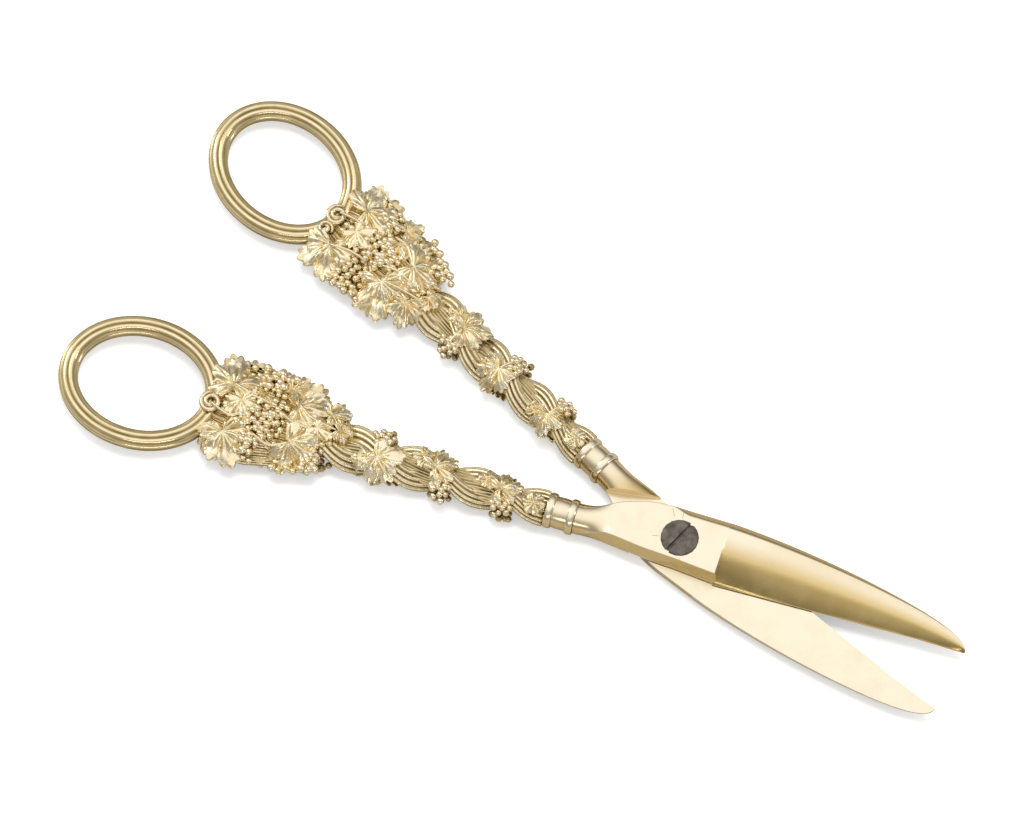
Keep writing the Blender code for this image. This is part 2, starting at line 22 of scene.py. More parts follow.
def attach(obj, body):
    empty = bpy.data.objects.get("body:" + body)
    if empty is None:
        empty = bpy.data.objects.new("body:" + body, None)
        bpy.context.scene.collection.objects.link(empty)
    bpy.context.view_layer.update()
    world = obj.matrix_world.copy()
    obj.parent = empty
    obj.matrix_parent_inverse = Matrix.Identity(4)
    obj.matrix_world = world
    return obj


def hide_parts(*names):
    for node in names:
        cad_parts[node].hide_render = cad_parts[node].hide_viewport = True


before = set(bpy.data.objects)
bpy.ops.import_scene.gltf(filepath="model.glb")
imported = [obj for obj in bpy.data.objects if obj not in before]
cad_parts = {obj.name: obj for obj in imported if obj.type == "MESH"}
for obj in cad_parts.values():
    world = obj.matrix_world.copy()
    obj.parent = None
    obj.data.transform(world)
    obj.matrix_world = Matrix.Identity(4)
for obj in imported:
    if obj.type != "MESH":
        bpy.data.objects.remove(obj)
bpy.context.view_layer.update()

mm = 0.001

# How the halves lie
joint_height = 3.8 * mm
handle_angle = math.radians(13.8)
handle_offset = 1.0 * mm
ring_distance = 105.4 * mm
handle_turn = -math.asin(handle_offset / ring_distance)
lower_blade_set = math.radians(-6.6)
half_gap = 0.15 * mm
top_limit = 3.78 * mm

# Bolster and blade
half_thickness = 3.8 * mm
bolster_front = 8.5 * mm
bolster_back_reach = 5.9 * mm
bolster_edge_reach = 4.7 * mm
side_lean = 0.8 * mm
back_lean = 0.4 * mm
shoulder_tail = Vector((-18.5, 3.2)) * mm
shoulder_nose = Vector((-7.4, -5.2)) * mm
shoulder_depth = 1.3 * mm
shank_radius = 2.9 * mm
shank_back = 19.75 * mm
blade_root = 8.1 * mm
blade_length = 56.4 * mm
blade_back_reach = bolster_back_reach + back_lean
blade_edge_reach = 5.7 * mm
blade_tip_reach = 4.35 * mm
blade_crown = 3.3 * mm
blade_root_rise = 0.49 * mm
blade_tip_thickness = 0.9 * mm
blade_tip_width = 0.35 * mm
edge_round = 0.14 * mm
edge_cut = 0.3 * edge_round
edge_land = 0.014
back_bevel_reach = 1.7 * mm
back_bevel_drop = 1.7 * mm
back_bevel_power = 1.6
back_bevel_start = -3.2 * mm
back_bevel_growth = 4.0 * mm
front_bevel_reach = 0.35 * mm
front_bevel_drop = 0.55 * mm
# Shares of the bolster's run by which it is square, and by which its underside has settled
square_run = 0.40
shoulder_run = 0.67
# Corners of the bolster's section, on each of its walls, its bevel, its top and its underside
wall_steps, bevel_steps, top_steps, under_steps = 9, 4, 34, 40
# Relief of the bolster's walls, and of the round shank from its sides to its top and bottom: painted
# shade on the walls and the shank's sides, painted highlight on its top
wall_relief = 0.2
shank_relief = (0.14, 0.86)
# Sunk seats of the screw's head and of its end: radius and depth
screw_seats = {"upper": (3.18 * mm, 1.0 * mm), "lower": (2.4 * mm, 0.03 * mm)}

# Ferrule
ferrule_back = 25.5 * mm
ferrule_front = 19.8 * mm
ferrule_radius = 2.95 * mm
ferrule_bore = 1.9 * mm
ferrule_swell = 0.08 * mm
ferrule_sides = 72
barrel_steps = 8
band_radius = 3.4 * mm
band_length = 1.5 * mm
band_fullness = 0.6
band_steps = 10
band_edge = 0.3 * mm
# Its relief: the painted shade at its sides, and the painted highlight that its upper and lower
# faces and its bands add
ferrule_relief, ferrule_top_relief, band_relief = 0.10, 0.75, 0.15

# Strands
strand_front = 25.2 * mm
strand_back = 91.4 * mm
phase_start = 27.1 * mm
strand_pitch = 12.28 * mm
neck_distance = 63.94 * mm
head_back = 91.94 * mm
strand_widths = (3.35 * mm, 4.55 * mm)
strand_thickness = 2.5 * mm
strand_rise = 1.35 * mm
spreads = (1.88 * mm, 2.55 * mm)
spread_at_ring = 5.4 * mm
strand_reeds = 10
strand_rows = 150
# strand_relief runs from groove to crest: painted shade in the grooves, painted highlight on the
# crests. strand_side_dark is painted shade on the strands' sides.
strand_relief = (-0.85, 0.95)
strand_side_dark = 0.75
reed_columns = 6
reed_depth = 0.27
reed_sharpness = 0.75
filler_widths = (1.15 * mm, 1.6 * mm)
filler_thickness = 2.3 * mm
filler_rise = 0.35 * mm
filler_reeds = 8
filler_spread_share = 0.40
core_half_width = 2.6 * mm
core_head_share = 1.2
core_half_thickness = 1.15 * mm
core_sway = 0.55 * mm
core_reeds = 24
core_reed_depth = 0.14
# core_relief runs from groove to crest: painted shade over the core where it lies between the
# strands
core_relief = (-0.4, 0.3)
core_fullness = 12

# Finger ring
ring_length = 32.0 * mm
ring_width = 26.4 * mm
ring_band = 3.9 * mm
ring_thickness = 3.6 * mm
ring_reeds = 8
ring_columns = 10
ring_rows = 160
ring_groove = 0.15
# ring_relief runs from groove to crest: painted shade in the grooves, painted highlight on the
# crests. ring_side_dark is painted shade on the ring's sides.
ring_relief = (-0.42, 0.62)
ring_side_dark = 0.95

# Vine ornament, draped over the strands
crest_height = 3.35 * mm
rim_height = 1.5 * mm
drape_reach = 1.42
drape_power = 2.6
leaf_thickness = 0.7 * mm
ball = 0.76 * mm
sprig_ball = 0.68 * mm
bead_height = 1.25 * mm
bead_sway = 0.45 * mm
bead_rise = 0.18 * mm
bead_difference = 0.08
head_foot = -0.2 * mm
stalk_radius = 0.32 * mm
stalk_lift = 0.1 * mm
stalk_sides = 8
stalk_steps = 24
stalk_fullness = 6
stalk_shade = 0.4

golden_angle = math.radians(137.5)
seam = 0.001 * mm


# Small helpers

def ease(share):
    share = min(max(share, 0.0), 1.0)
    return share * share * (3 - 2 * share)


def mix(start, end, share):
    return start + (end - start) * share


def table_value(table, place):
    """Read a table of (place, value) rows, straight between them."""
    for (low, before), (high, after) in zip(table, table[1:]):
        if place <= high:
            share = (place - low) / (high - low)
            return mix(before, after, min(max(share, 0.0), 1.0))
    return table[-1][1]


def ripple(spot, size):
    """Soft unevenness from -1 to 1 with lumps of the given size."""
    return noise.noise(spot / size)


def end_fall(share, fullness):
    """1 along most of a run, rounding off to 0 at both of its ends."""
    return math.sqrt(max(1 - abs(2 * share - 1) ** fullness, 0.0))


def reed_crest(angle, reeds):
    """1 on the crest of each reed round a bar, 0 in the grooves between them."""
    return abs(math.sin(angle * reeds / 2))


def side_shade(angle):
    """1 at the sides of a round bar, falling to 0 on its upper and lower faces."""
    return ease(1 - abs(math.sin(angle)) / 0.5)


def lay(along, across, height):
    return Vector((-along, across, min(height, top_limit)))


def new_shape():
    shape = bmesh.new()
    shape.verts.layers.float.new("relief")
    return shape


def skin(shape, columns, rows, place, material_index=0):
    """Add a grid and bend it: place(column, row) gives a corner's spot and its relief."""
    relief = shape.verts.layers.float["relief"]
    corners = bmesh.ops.create_grid(shape, x_segments=columns, y_segments=rows, size=0.5)["verts"]
    for corner in corners:
        column = round((corner.co.x + 0.5) * columns)
        row = round((corner.co.y + 0.5) * rows)
        corner.co, corner[relief] = place(column, row)
    if material_index:
        for face in {face for corner in corners for face in corner.link_faces}:
            face.material_index = material_index
    bmesh.ops.remove_doubles(shape, verts=corners, dist=seam)


def tube(shape, points, radius, relief=0.8):
    """Add a round stalk along a run of points, drawn to a point at both ends."""
    last = len(points) - 1

    def place(column, row):
        before = points[max(row - 1, 0)]
        after = points[min(row + 1, last)]
        run = (after - before).normalized()
        side = run.cross(Vector((0, 0, 1))).normalized()
        up = side.cross(run)
        angle = math.tau * column / stalk_sides
        swell = radius * end_fall(row / last, stalk_fullness)
        spot = points[row] + side * swell * math.cos(angle) + up * swell * math.sin(angle)
        return spot, relief * (1 - stalk_shade + stalk_shade * math.sin(angle))

    skin(shape, stalk_sides, last, place)


def mesh_of(shape, name, sharp_angle=math.radians(50)):
    bmesh.ops.recalc_face_normals(shape, faces=shape.faces)
    if shape.calc_volume(signed=True) < 0:
        bmesh.ops.reverse_faces(shape, faces=shape.faces)
    mesh = bpy.data.meshes.new(name)
    shape.to_mesh(mesh)
    shape.free()
    mesh.shade_smooth()
    mesh.set_sharp_from_angle(angle=sharp_angle)
    return mesh


# Where things lie on a handle

def neck_share(along):
    return min(max((along - strand_front) / (neck_distance - strand_front), 0.0), 1.0)


def spread_at(along):
    """How far a strand swings to each side of the handle's middle line."""
    stem = mix(*spreads, neck_share(along))
    return mix(stem, spread_at_ring, ease((along - neck_distance) / (head_back - neck_distance)))


def stem_half_at(along):
    """Half the width that the two strands cover together."""
    return spread_at(along) + mix(*strand_widths, neck_share(along)) / 2


def drape(along, across):
    """Height of the ornament's face over the strands, falling off to its rim."""
    fall = (abs(across) / (stem_half_at(along) * drape_reach)) ** drape_power
    return max(crest_height * (1 - fall), rim_height)


def handle_line_at(along):
    """How far across the half frame the handle's middle line lies, at along of +X."""
    return along * math.tan(handle_turn) - handle_offset


# Vine strands

def strand(shape, side, widths, spread_share, thickness, rise, reeds):
    """One reeded strand of the rope, laid over and under the other one."""
    columns = reeds * reed_columns

    def place(column, row):
        along = mix(strand_front, strand_back, row / strand_rows)
        phase = math.pi * (along - phase_start) / strand_pitch
        settling = ease((strand_back - along) / (strand_pitch / 2))
        middle = side * spread_share * spread_at(along) * math.cos(phase)
        lift = -side * rise * settling * math.sin(phase)
        angle = math.tau * column / columns
        crest = reed_crest(angle, reeds) ** reed_sharpness
        full = 1 - reed_depth + reed_depth * crest
        if row in (0, strand_rows):
            full = 0.0
        half = mix(*widths, neck_share(along)) / 2
        across = middle + half * full * math.cos(angle)
        up = lift + thickness / 2 * full * math.sin(angle)
        relief = mix(*strand_relief, crest) - strand_side_dark * side_shade(angle)
        return lay(along, across, up), relief

    skin(shape, columns, strand_rows, place)


def stem_core(shape):
    """Reeded heart of the stem that fills the hollows between the strands."""
    columns, rows = 96, 40

    def place(column, row):
        along = mix(strand_front, strand_back, row / rows)
        angle = math.tau * column / columns
        crest = reed_crest(angle, core_reeds)
        full = 1 - core_reed_depth + core_reed_depth * crest
        full *= end_fall(row / rows, core_fullness)
        widening = ease((along - neck_distance) / strand_pitch)
        half = mix(core_half_width, spread_at(along) * core_head_share, widening)
        sway = core_sway * math.sin(math.pi * (along - phase_start) / strand_pitch)
        across = full * (half * math.cos(angle) + sway * math.sin(angle) ** 2)
        up = core_half_thickness * full * math.sin(angle)
        return lay(along, across, up), mix(*core_relief, crest)

    skin(shape, columns, rows, place)


# Finger ring

def finger_ring(shape):
    """Oval ring with reeds running round it."""
    columns = ring_reeds * ring_columns
    middle = Vector((ring_length - ring_band, ring_width - ring_band)) / 2

    def place(column, row):
        turn = math.tau * row / ring_rows
        centre = Vector((middle.x * math.cos(turn), middle.y * math.sin(turn)))
        out = Vector((math.cos(turn) / middle.x, math.sin(turn) / middle.y)).normalized()
        angle = math.tau * column / columns
        crest = reed_crest(angle, ring_reeds)
        full = 1 - ring_groove * (1 - crest)
        spot = centre + out * ring_band / 2 * full * math.cos(angle)
        up = ring_thickness / 2 * full * math.sin(angle)
        relief = mix(*ring_relief, crest) - ring_side_dark * side_shade(angle)
        return Vector((spot.x - ring_distance, spot.y, up)), relief

    skin(shape, columns, ring_rows, place)


# Leaves, grapes and tendrils

# Lobes of a leaf: direction in degrees, and length as a share of the leaf's size
leaf_lobes = ((0.0, 1.0), (56.25, 0.93), (-56.25, 0.93), (112.5, 0.76), (-112.5, 0.76))
leaf_columns = 128
# How one leaf's lobes differ from another's: columns turned, share of length, and bend
lobe_turns = 2
lobe_lengths = (0.86, 1.08)
lobe_bends = (-0.16, 0.12)
bend_angle = 22
# Outline: the notches between lobes, the least reach and the teeth
notch_angle = 28
notch_depth = 0.25
notch_power = 1.7
leaf_waist = 0.17
tooth_angle = 16.875
tooth_depth = 0.12
# Face: each lobe is folded along its rib, droops to its edge and bulges between rib and notch
fold_angle = 30
fold_rise = 0.07
fold_level = 0.6
fold_growth = 1.8
edge_droop = 0.05
swell_angle = 26
swell_length = 0.9
swell_growth = 2.2
swell_height = 0.38 * mm
rib_width = 0.2 * mm
rib_depth = 0.03 * mm
rib_angle = 60
rib_growth = 3
vein_height = 0.03 * mm
vein_count = 4.6
vein_angle = 13
lump_size = 1.6 * mm
lump_height = 0.42 * mm
# How bright each of these forms is, as painted highlight and rubbed gilt, how much painted shade
# darkens a rib, and the share kept at the foot, where painted shade falls under the leaf
leaf_relief = {
    "face": 0.42, "fold": 0.05, "out": 0.24, "vein": 0.08, "swell": 0.30, "lump": 0.55,
    "rib": 0.10, "edge_foot": 0.4,
}
# Rows of a leaf's skin: share of the way out, and where it lies between foot and face
leaf_rows = (
    (0.0, 1.0), (0.09, 1.0), (0.18, 1.0), (0.27, 1.0), (0.36, 1.0), (0.45, 1.0), (0.54, 1.0),
    (0.63, 1.0), (0.72, 1.0), (0.81, 1.0), (0.90, 1.0), (0.97, 1.0), (1.0, 0.82), (0.99, 0.6),
    (0.90, 0.0), (0.5, 0.0), (0.0, 0.0),
)


def leaf_edge(degrees, lobes):
    """Reach of the leaf's outline in a direction, how far off a rib that is, and its bend."""
    reach, off = 0.0, 180.0
    bend = weight = 0.0
    for lobe, length, curl_up in lobes:
        away = abs((degrees - lobe + 180) % 360 - 180)
        near = math.exp(-(away / bend_angle) ** 2)
        bend += near * curl_up
        weight += near
        here = length * (1 - notch_depth * (away / notch_angle) ** notch_power)
        if here > reach:
            reach, off = here, away
    tooth = 1 - math.sin(math.pi * ((off / tooth_angle + 0.5) % 1))
    return max(reach, leaf_waist) * (1 - tooth_depth * tooth), off, bend / weight


def leaf(shape, along, across, size, heading, lift, tilt=(0.0, 0.0), foot=None):
    """Five-lobed vine leaf with ribs, bulging lobes and scalloped edges."""
    columns = leaf_columns
    # Each leaf has a seed of its own, from its place and size
    seed = Vector((along, across, size)) * 37
    draw = random.Random(round(seed.x / mm) * 31 + round(seed.y / mm))
    lobes = []
    for angle, length in leaf_lobes:
        turned = angle + draw.randint(-lobe_turns, lobe_turns) * 360 / columns
        lobes.append((turned, length * draw.uniform(*lobe_lengths), draw.uniform(*lobe_bends)))

    def place(column, row):
        degrees = 360 * column / columns - 180
        share, level = leaf_rows[row]
        edge, off, bend = leaf_edge(degrees, lobes)
        out = size * edge * share
        direction = math.radians(heading + degrees)
        lean = (out * math.cos(direction), out * math.sin(direction))
        here = (along - lean[0], across + lean[1])
        fold = 0.5 + 0.5 * math.cos(math.pi * min(off / fold_angle, 1.0))
        grown = ease(share * fold_growth)
        beside = out * math.sin(math.radians(min(off, rib_angle)))
        rib = math.exp(-(beside / rib_width) ** 2)
        vein = math.cos(math.tau * (share * vein_count - off / vein_angle)) * grown * (1 - rib)
        rib *= ease(share * rib_growth)
        lump = ripple(Vector((lean[0], lean[1], 0)) + seed, lump_size)
        swell = math.sin(math.pi * min(share / swell_length, 1.0))
        swell *= math.sin(math.pi * min(off / swell_angle, 1.0)) * ease(share * swell_growth)
        face = drape(*here) + lift + tilt[0] * lean[0] + tilt[1] * lean[1]
        face += size * (fold_rise * (fold - fold_level) * grown)
        face += size * (bend * share ** 2 - edge_droop * share ** 3)
        face += swell_height * swell + vein_height * vein + lump_height * lump - rib_depth * rib
        low = face - leaf_thickness if foot is None else foot
        relief = leaf_relief["face"] + leaf_relief["out"] * share
        for form, amount in (("fold", fold), ("vein", vein), ("swell", swell), ("lump", lump)):
            relief += leaf_relief[form] * amount
        relief -= leaf_relief["rib"] * rib
        spot = lay(*here, mix(low, face, level))
        return spot, relief * mix(leaf_relief["edge_foot"], 1.0, level)

    skin(shape, columns, len(leaf_rows) - 1, place)


# Grapes: how their faces are divided, and how relief runs from their middle to their top: painted
# highlight on top, painted shade beneath
grape_columns, grape_rows = 10, 6
grape_relief = (0.45, 1.0)
# Bunches: drawn out along the handle, with some unevenness in turn, height and size
bunch_stretch = 1.12
bunch_turn = 0.2
bunch_unevenness = 0.12 * mm
bunch_sizes = (0.86, 1.1)


def grape(shape, along, across, height, radius):
    """One small ball, lighter on top with painted highlight and darker beneath with painted shade.
    """
    centre = lay(along, across, min(height, top_limit - radius))

    def place(column, row):
        turn, drop = math.tau * column / grape_columns, math.pi * row / grape_rows
        out, up = math.sin(drop), math.cos(drop)
        spot = centre + radius * Vector((out * math.cos(turn), out * math.sin(turn), up))
        return spot, mix(*grape_relief, up)

    skin(shape, grape_columns, grape_rows, place, 1)


def bunch(shape, along, across, reach, count, radius=ball, dome=0.5 * mm, sink=0.45 * mm):
    """Bunch of grapes packed in a spiral, highest in its middle."""
    draw = random.Random(round(along / mm * 10) + round(across / mm * 100))
    for index in range(count):
        out = reach * math.sqrt((index + 0.5) / count)
        turn = index * golden_angle + draw.uniform(-bunch_turn, bunch_turn)
        here = (along - bunch_stretch * out * math.cos(turn), across + out * math.sin(turn))
        height = drape(*here) - sink + dome * (1 - (out / reach) ** 2)
        height += draw.uniform(-bunch_unevenness, bunch_unevenness)
        grape(shape, *here, height, radius * draw.uniform(*bunch_sizes))


def bead_row(shape, start, end, count):
    """A run of single grapes along the ornament's rim."""
    for index in range(count):
        share = index / (count - 1)
        sway = (-1) ** index
        across = mix(start[1], end[1], share) + bead_sway * sway / 2
        spot = (mix(start[0], end[0], share), across, bead_height + bead_rise * sway)
        grape(shape, *spot, ball * (1 + bead_difference * sway))


def stalk(shape, start, pull, end):
    """Stalk that curves from start to end, drawn towards pull, over the ornament."""
    start, pull, end = Vector(start), Vector(pull), Vector(end)
    run = interpolate_bezier(start, pull, pull, end, stalk_steps)
    points = [lay(point.x, point.y, drape(point.x, point.y) + stalk_lift) for point in run]
    tube(shape, points, stalk_radius)


curl_steps = 22
curl_narrowing = 0.75
curl_climb = 0.5 * mm


def curl(shape, along, across, reach, turns, height, start_turn, radius):
    """Tendril wound in a flat spiral."""
    points = []
    steps = round(turns * curl_steps)
    for step in range(steps + 1):
        share = step / steps
        angle = start_turn + turns * math.tau * share
        out = reach * (1 - curl_narrowing * share)
        points.append(lay(
            along - out * math.cos(angle), across + out * math.sin(angle),
            height + curl_climb * share,
        ))
    tube(shape, points, radius, relief=0.95)


# Collar flower: its petals, the crinkles across them, and the seeds round its heart
flower_size = 2.25 * mm
flower_columns = 80
petal_pairs = 3
petal_depth = 0.2
petal_rise = 0.2 * mm
petal_level = 0.3
crinkles = 11
crinkle_slant = 4
crinkle_rise = 0.14 * mm
flower_heart = 0.25
flower_dome = 0.25 * mm
# Relief: painted highlight out on the petals and on the crinkles' ridges, painted shade in their
# hollows
flower_relief = {"face": 0.35, "petal": 0.4, "crinkle": 0.2}
seeds = 5
seed_reach = 0.45
seed_radius = 0.38 * mm
seed_lift = 0.05 * mm


def rosette(shape, along, across):
    """Small crinkled flower set against the ferrule."""

    def place(column, row):
        share, level = leaf_rows[row]
        turn = math.tau * column / flower_columns
        petal = abs(math.cos(turn * petal_pairs))
        crinkle = math.cos(turn * crinkles + crinkle_slant * share) * share
        out = flower_size * share * (1 - petal_depth + petal_depth * petal)
        here = (along - out * math.cos(turn), across + out * math.sin(turn))
        face = drape(*here) + petal_rise * (petal - petal_level) * ease(share * 2)
        face += crinkle_rise * crinkle
        face += flower_dome * (math.exp(-(share / flower_heart) ** 2) - share ** 3)
        relief = flower_relief["face"] + flower_relief["petal"] * petal * share
        relief += flower_relief["crinkle"] * crinkle
        return lay(*here, mix(face - leaf_thickness, face, level)), relief

    skin(shape, flower_columns, len(leaf_rows) - 1, place)
    for step in range(seeds):
        turn = math.tau * step / seeds
        out = seed_reach * flower_size
        here = (along - out * math.cos(turn), across + out * math.sin(turn))
        grape(shape, *here, drape(*here) + seed_lift, seed_radius)


# Half width of the head's ground at places along it, in millimetres
head_ground = (
    (66.6, 0.0), (67.6, 2.2), (69.5, 4.4), (71.5, 6.0), (76.5, 7.9), (82.0, 9.4), (87.0, 9.6),
    (90.0, 8.0), (91.5, 5.6), (92.6, 3.0), (93.0, 0.0),
)
ground_drop = 1.35 * mm
ground_reeds = 40
ground_reed_rise = 0.34 * mm
# ground_relief runs from groove to crest: painted shade over the ground under the leaves, deepest in
# its grooves
ground_relief = (-0.2, 0.5)
ground_shoulder = 0.35
ground_fullness = 10
# Towards the ring the ground sinks to a lower height, from a start over a length in millimetres
ground_back_height = 1.3 * mm
ground_back_start = 86.5
ground_back_length = 4


def head_ground_shape(shape):
    """Swelling ground of the head, with the reeds of the fanned strands on it."""
    columns, rows = 320, 60
    start, end = head_ground[0][0], head_ground[-1][0]

    def place(column, row):
        turn = math.tau * column / columns
        along = mix(start, end, 0.5 - 0.5 * math.cos(math.pi * row / rows))
        half = table_value(head_ground, along) * mm
        here = (along * mm, half * math.cos(turn))
        crest = reed_crest(math.pi * math.cos(turn), ground_reeds)
        rise = max(math.sin(turn), 0.0) ** ground_shoulder
        rise *= end_fall(row / rows, ground_fullness)
        back = ease((along - ground_back_start) / ground_back_length)
        top = mix(drape(*here) - ground_drop, min(drape(*here), ground_back_height), back)
        face = mix(head_foot, top + ground_reed_rise * crest, rise)
        return lay(*here, face if row % rows else head_foot), mix(*ground_relief, crest)

    skin(shape, columns, rows, place)


# The ornament of each face, in millimetres, laid out as that face is seen, blade to the right.
# Leaves: along, across, size, heading, lift, tilt along, tilt across
head_leaves = {
    "outer": (
        (87.4, -5.3, 6.9, -50, 0.05, 0.03, 0.07), (88.2, 4.1, 6.9, 94, 0.05, 0.04, -0.06),
        (75.6, 4.0, 7.0, 12, 0.0, -0.03, -0.05), (74.9, -3.5, 6.9, -25, 0.15, -0.04, 0.06),
        (86.0, 1.5, 4.5, -65, 0.35, -0.05, 0.06), (77.9, 7.0, 4.3, 62, -0.1, 0.02, -0.05),
        (68.9, 4.4, 3.7, 24, 0.0, -0.04, -0.04), (70.8, 0.6, 3.6, -20, 0.25, -0.06, 0.0),
        (82.6, 4.2, 2.9, -100, 0.2, 0.0, 0.0), (66.6, 1.6, 2.9, 5, 0.0, -0.05, 0.0),
    ),
    "inner": (
        (87.9, 4.7, 6.7, 48, 0.05, 0.03, -0.06), (88.0, -5.2, 6.7, -60, 0.05, 0.03, 0.07),
        (73.4, 2.7, 6.7, 9, 0.2, -0.04, -0.05), (75.8, -3.7, 6.9, -48, 0.05, -0.03, 0.05),
        (69.4, -3.3, 4.4, -62, 0.0, 0.0, 0.06), (78.8, 4.2, 4.2, -35, 0.1, -0.04, 0.0),
        (79.9, 7.4, 3.4, 70, -0.1, 0.0, -0.05), (86.0, 0.0, 3.7, -15, 0.35, -0.05, 0.0),
        (67.0, 0.2, 3.0, 0, 0.0, -0.05, 0.0),
    ),
}
# Bunches: along, across, reach, and how many grapes
head_bunches = {
    "outer": (
        (82.0, -1.8, 3.6, 30), (81.0, 7.8, 2.4, 13), (82.9, -6.2, 2.0, 9), (79.4, 1.9, 2.0, 9),
        (70.0, -6.0, 1.6, 7),
    ),
    "inner": (
        (82.1, 0.7, 3.6, 30), (83.4, 5.6, 2.2, 11), (81.9, -7.0, 3.0, 20), (78.4, -0.2, 1.9, 8),
        (69.6, 6.0, 1.7, 8),
    ),
}
# Where the reeds stay bare of grapes: along, across and reach
head_bare = {"outer": (79.0, -6.9, 2.3), "inner": (85.0, -8.0, 1.2)}
# Loose grapes over the ground, in millimetres: their run along it, pitch, margin and unevenness
fill_run = (67.6, 89.8)
fill_pitch = 1.42
fill_row_pitch = fill_pitch * 0.87
fill_margin = 0.4
fill_unevenness = 0.2
fill_depths = (0.75, 1.15)
fill_sizes = (0.72, 1.05)
# How far out a leaf hides what is below it, as a share of its size
leaf_cover = 0.4
# Rim grapes: along and across of both ends, and how many
head_beads = {
    "outer": (((76.6, -9.0), (68.8, -6.8), 7), ((83.6, 9.6), (77.6, 9.0), 5)),
    "inner": (((74.6, 9.2), (66.6, 6.0), 8), ((84.0, -9.9), (77.2, -8.9), 6)),
}
# Stalks: start, pull and end
head_stalks = {
    "outer": (
        ((91.5, -0.5), (87.0, -2.5), (84.5, -0.2)), ((88.5, 4.5), (84.0, 3.0), (80.0, 2.6)),
        ((82.5, -3.8), (78.5, -5.6), (74.6, -3.4)), ((78.0, 1.5), (75.5, 0.0), (70.0, 0.3)),
        ((75.6, 4.4), (72.5, 2.0), (67.0, 1.4)),
    ),
    "inner": (
        ((91.5, 0.5), (87.0, 2.2), (84.5, 0.4)), ((88.2, -5.3), (84.5, -3.4), (80.4, -2.8)),
        ((80.5, 4.6), (77.4, 5.2), (74.0, 3.0)), ((78.0, -1.5), (75.0, 0.2), (70.0, -0.2)),
        ((75.6, -3.4), (72.0, -2.2), (67.0, -1.2)),
    ),
}
# Tendrils at the ring: along, across, reach, turns, height, first turn and radius
head_curls = (
    (91.5, 0.2, 2.1, 1.8, 2.1, math.pi / 2, 0.46), (91.3, -3.2, 1.5, 1.4, 1.9, 0.0, 0.38),
)
# Sprigs: leaf along, across, size and heading, then bunch along, across, reach and count
sprigs = {
    "outer": (
        (58.3, -1.2, 5.6, -35, 58.3, 3.0, 1.9, 11), (47.3, 0.3, 5.2, 35, 45.4, -3.4, 1.8, 11),
        (34.7, 0.0, 4.8, 20, 33.6, -3.2, 1.7, 10),
    ),
    "inner": (
        (58.0, 0.5, 5.6, 40, 58.0, -3.8, 1.8, 11), (47.6, -0.6, 5.2, -95, 45.6, 2.6, 1.8, 11),
        (34.7, -0.7, 4.7, -60, 33.4, 2.8, 1.7, 10),
    ),
}
flowers = {"outer": (27.9, -0.7), "inner": (27.9, -0.4)}


def fill_grapes(shape, face):
    """Small grapes over the head's ground, wherever no leaf hides them."""
    draw = random.Random(len(head_leaves[face]))
    low, high = fill_run
    for row in range(round((high - low) / fill_row_pitch)):
        along = low + row * fill_row_pitch
        half = table_value(head_ground, along) - fill_margin
        count = max(round(2 * half / fill_pitch), 1)
        for index in range(count + row % 2):
            across = mix(-half, half, (index + 0.5 - 0.5 * (row % 2)) / count)
            here = [place + draw.uniform(-fill_unevenness, fill_unevenness)
                    for place in (along, across)]
            cover = [(*spot[:2], leaf_cover * spot[2]) for spot in head_leaves[face]]
            cover.append(head_bare[face])
            if any(math.dist(here, spot[:2]) < spot[2] for spot in cover):
                continue
            spot = (here[0] * mm, here[1] * mm)
            height = drape(*spot) - draw.uniform(*fill_depths) * mm
            grape(shape, *spot, height, ball * draw.uniform(*fill_sizes))


def head_shape(face):
    shape = new_shape()
    fill_grapes(shape, face)
    for along, across, reach, count in head_bunches[face]:
        bunch(shape, along * mm, across * mm, reach * mm, count)
    for start, end, count in head_beads[face]:
        bead_row(shape, Vector(start) * mm, Vector(end) * mm, count)
    head_ground_shape(shape)
    for along, across, size, heading, lift, *tilt in head_leaves[face]:
        leaf(shape, along * mm, across * mm, size * mm, heading, lift * mm, tilt, head_foot)
    for points in head_stalks[face]:
        stalk(shape, *[(along * mm, across * mm, 0.0) for along, across in points])
    side = -1 if face == "outer" else 1
    for along, across, reach, turns, height, start_turn, radius in head_curls:
        curl(
            shape, along * mm, side * across * mm, reach * mm, turns, height * mm, start_turn,
            radius * mm)
    return shape


sprig_dome = 0.55 * mm
sprig_sink = 0.5 * mm
sprig_lift = 0.12 * mm
# The small second leaf: how far behind and beside the first, its size, turn and lift
second_leaf_behind = 2.1 * mm
second_leaf_beside = -0.35
second_leaf_size = 0.55
second_leaf_turn = 150
second_leaf_lift = -0.1 * mm


def sprig_shape(along, across, size, heading, bunch_along, bunch_across, reach, count):
    along, across, size, reach = along * mm, across * mm, size * mm, reach * mm
    bunch_along, bunch_across = bunch_along * mm, bunch_across * mm
    shape = new_shape()
    bunch(shape, bunch_along, bunch_across, reach, count, sprig_ball, sprig_dome, sprig_sink)
    leaf(shape, along, across, size, heading, sprig_lift)
    beside = mix(across, bunch_across, second_leaf_beside)
    leaf(
        shape, along + second_leaf_behind, beside, size * second_leaf_size,
        heading + second_leaf_turn, second_leaf_lift)
    pull = (mix(along, bunch_along, 0.5), bunch_across, 0)
    stalk(shape, (bunch_along, bunch_across, 0), pull, (along, across, 0))
    return shape


# Ferrule

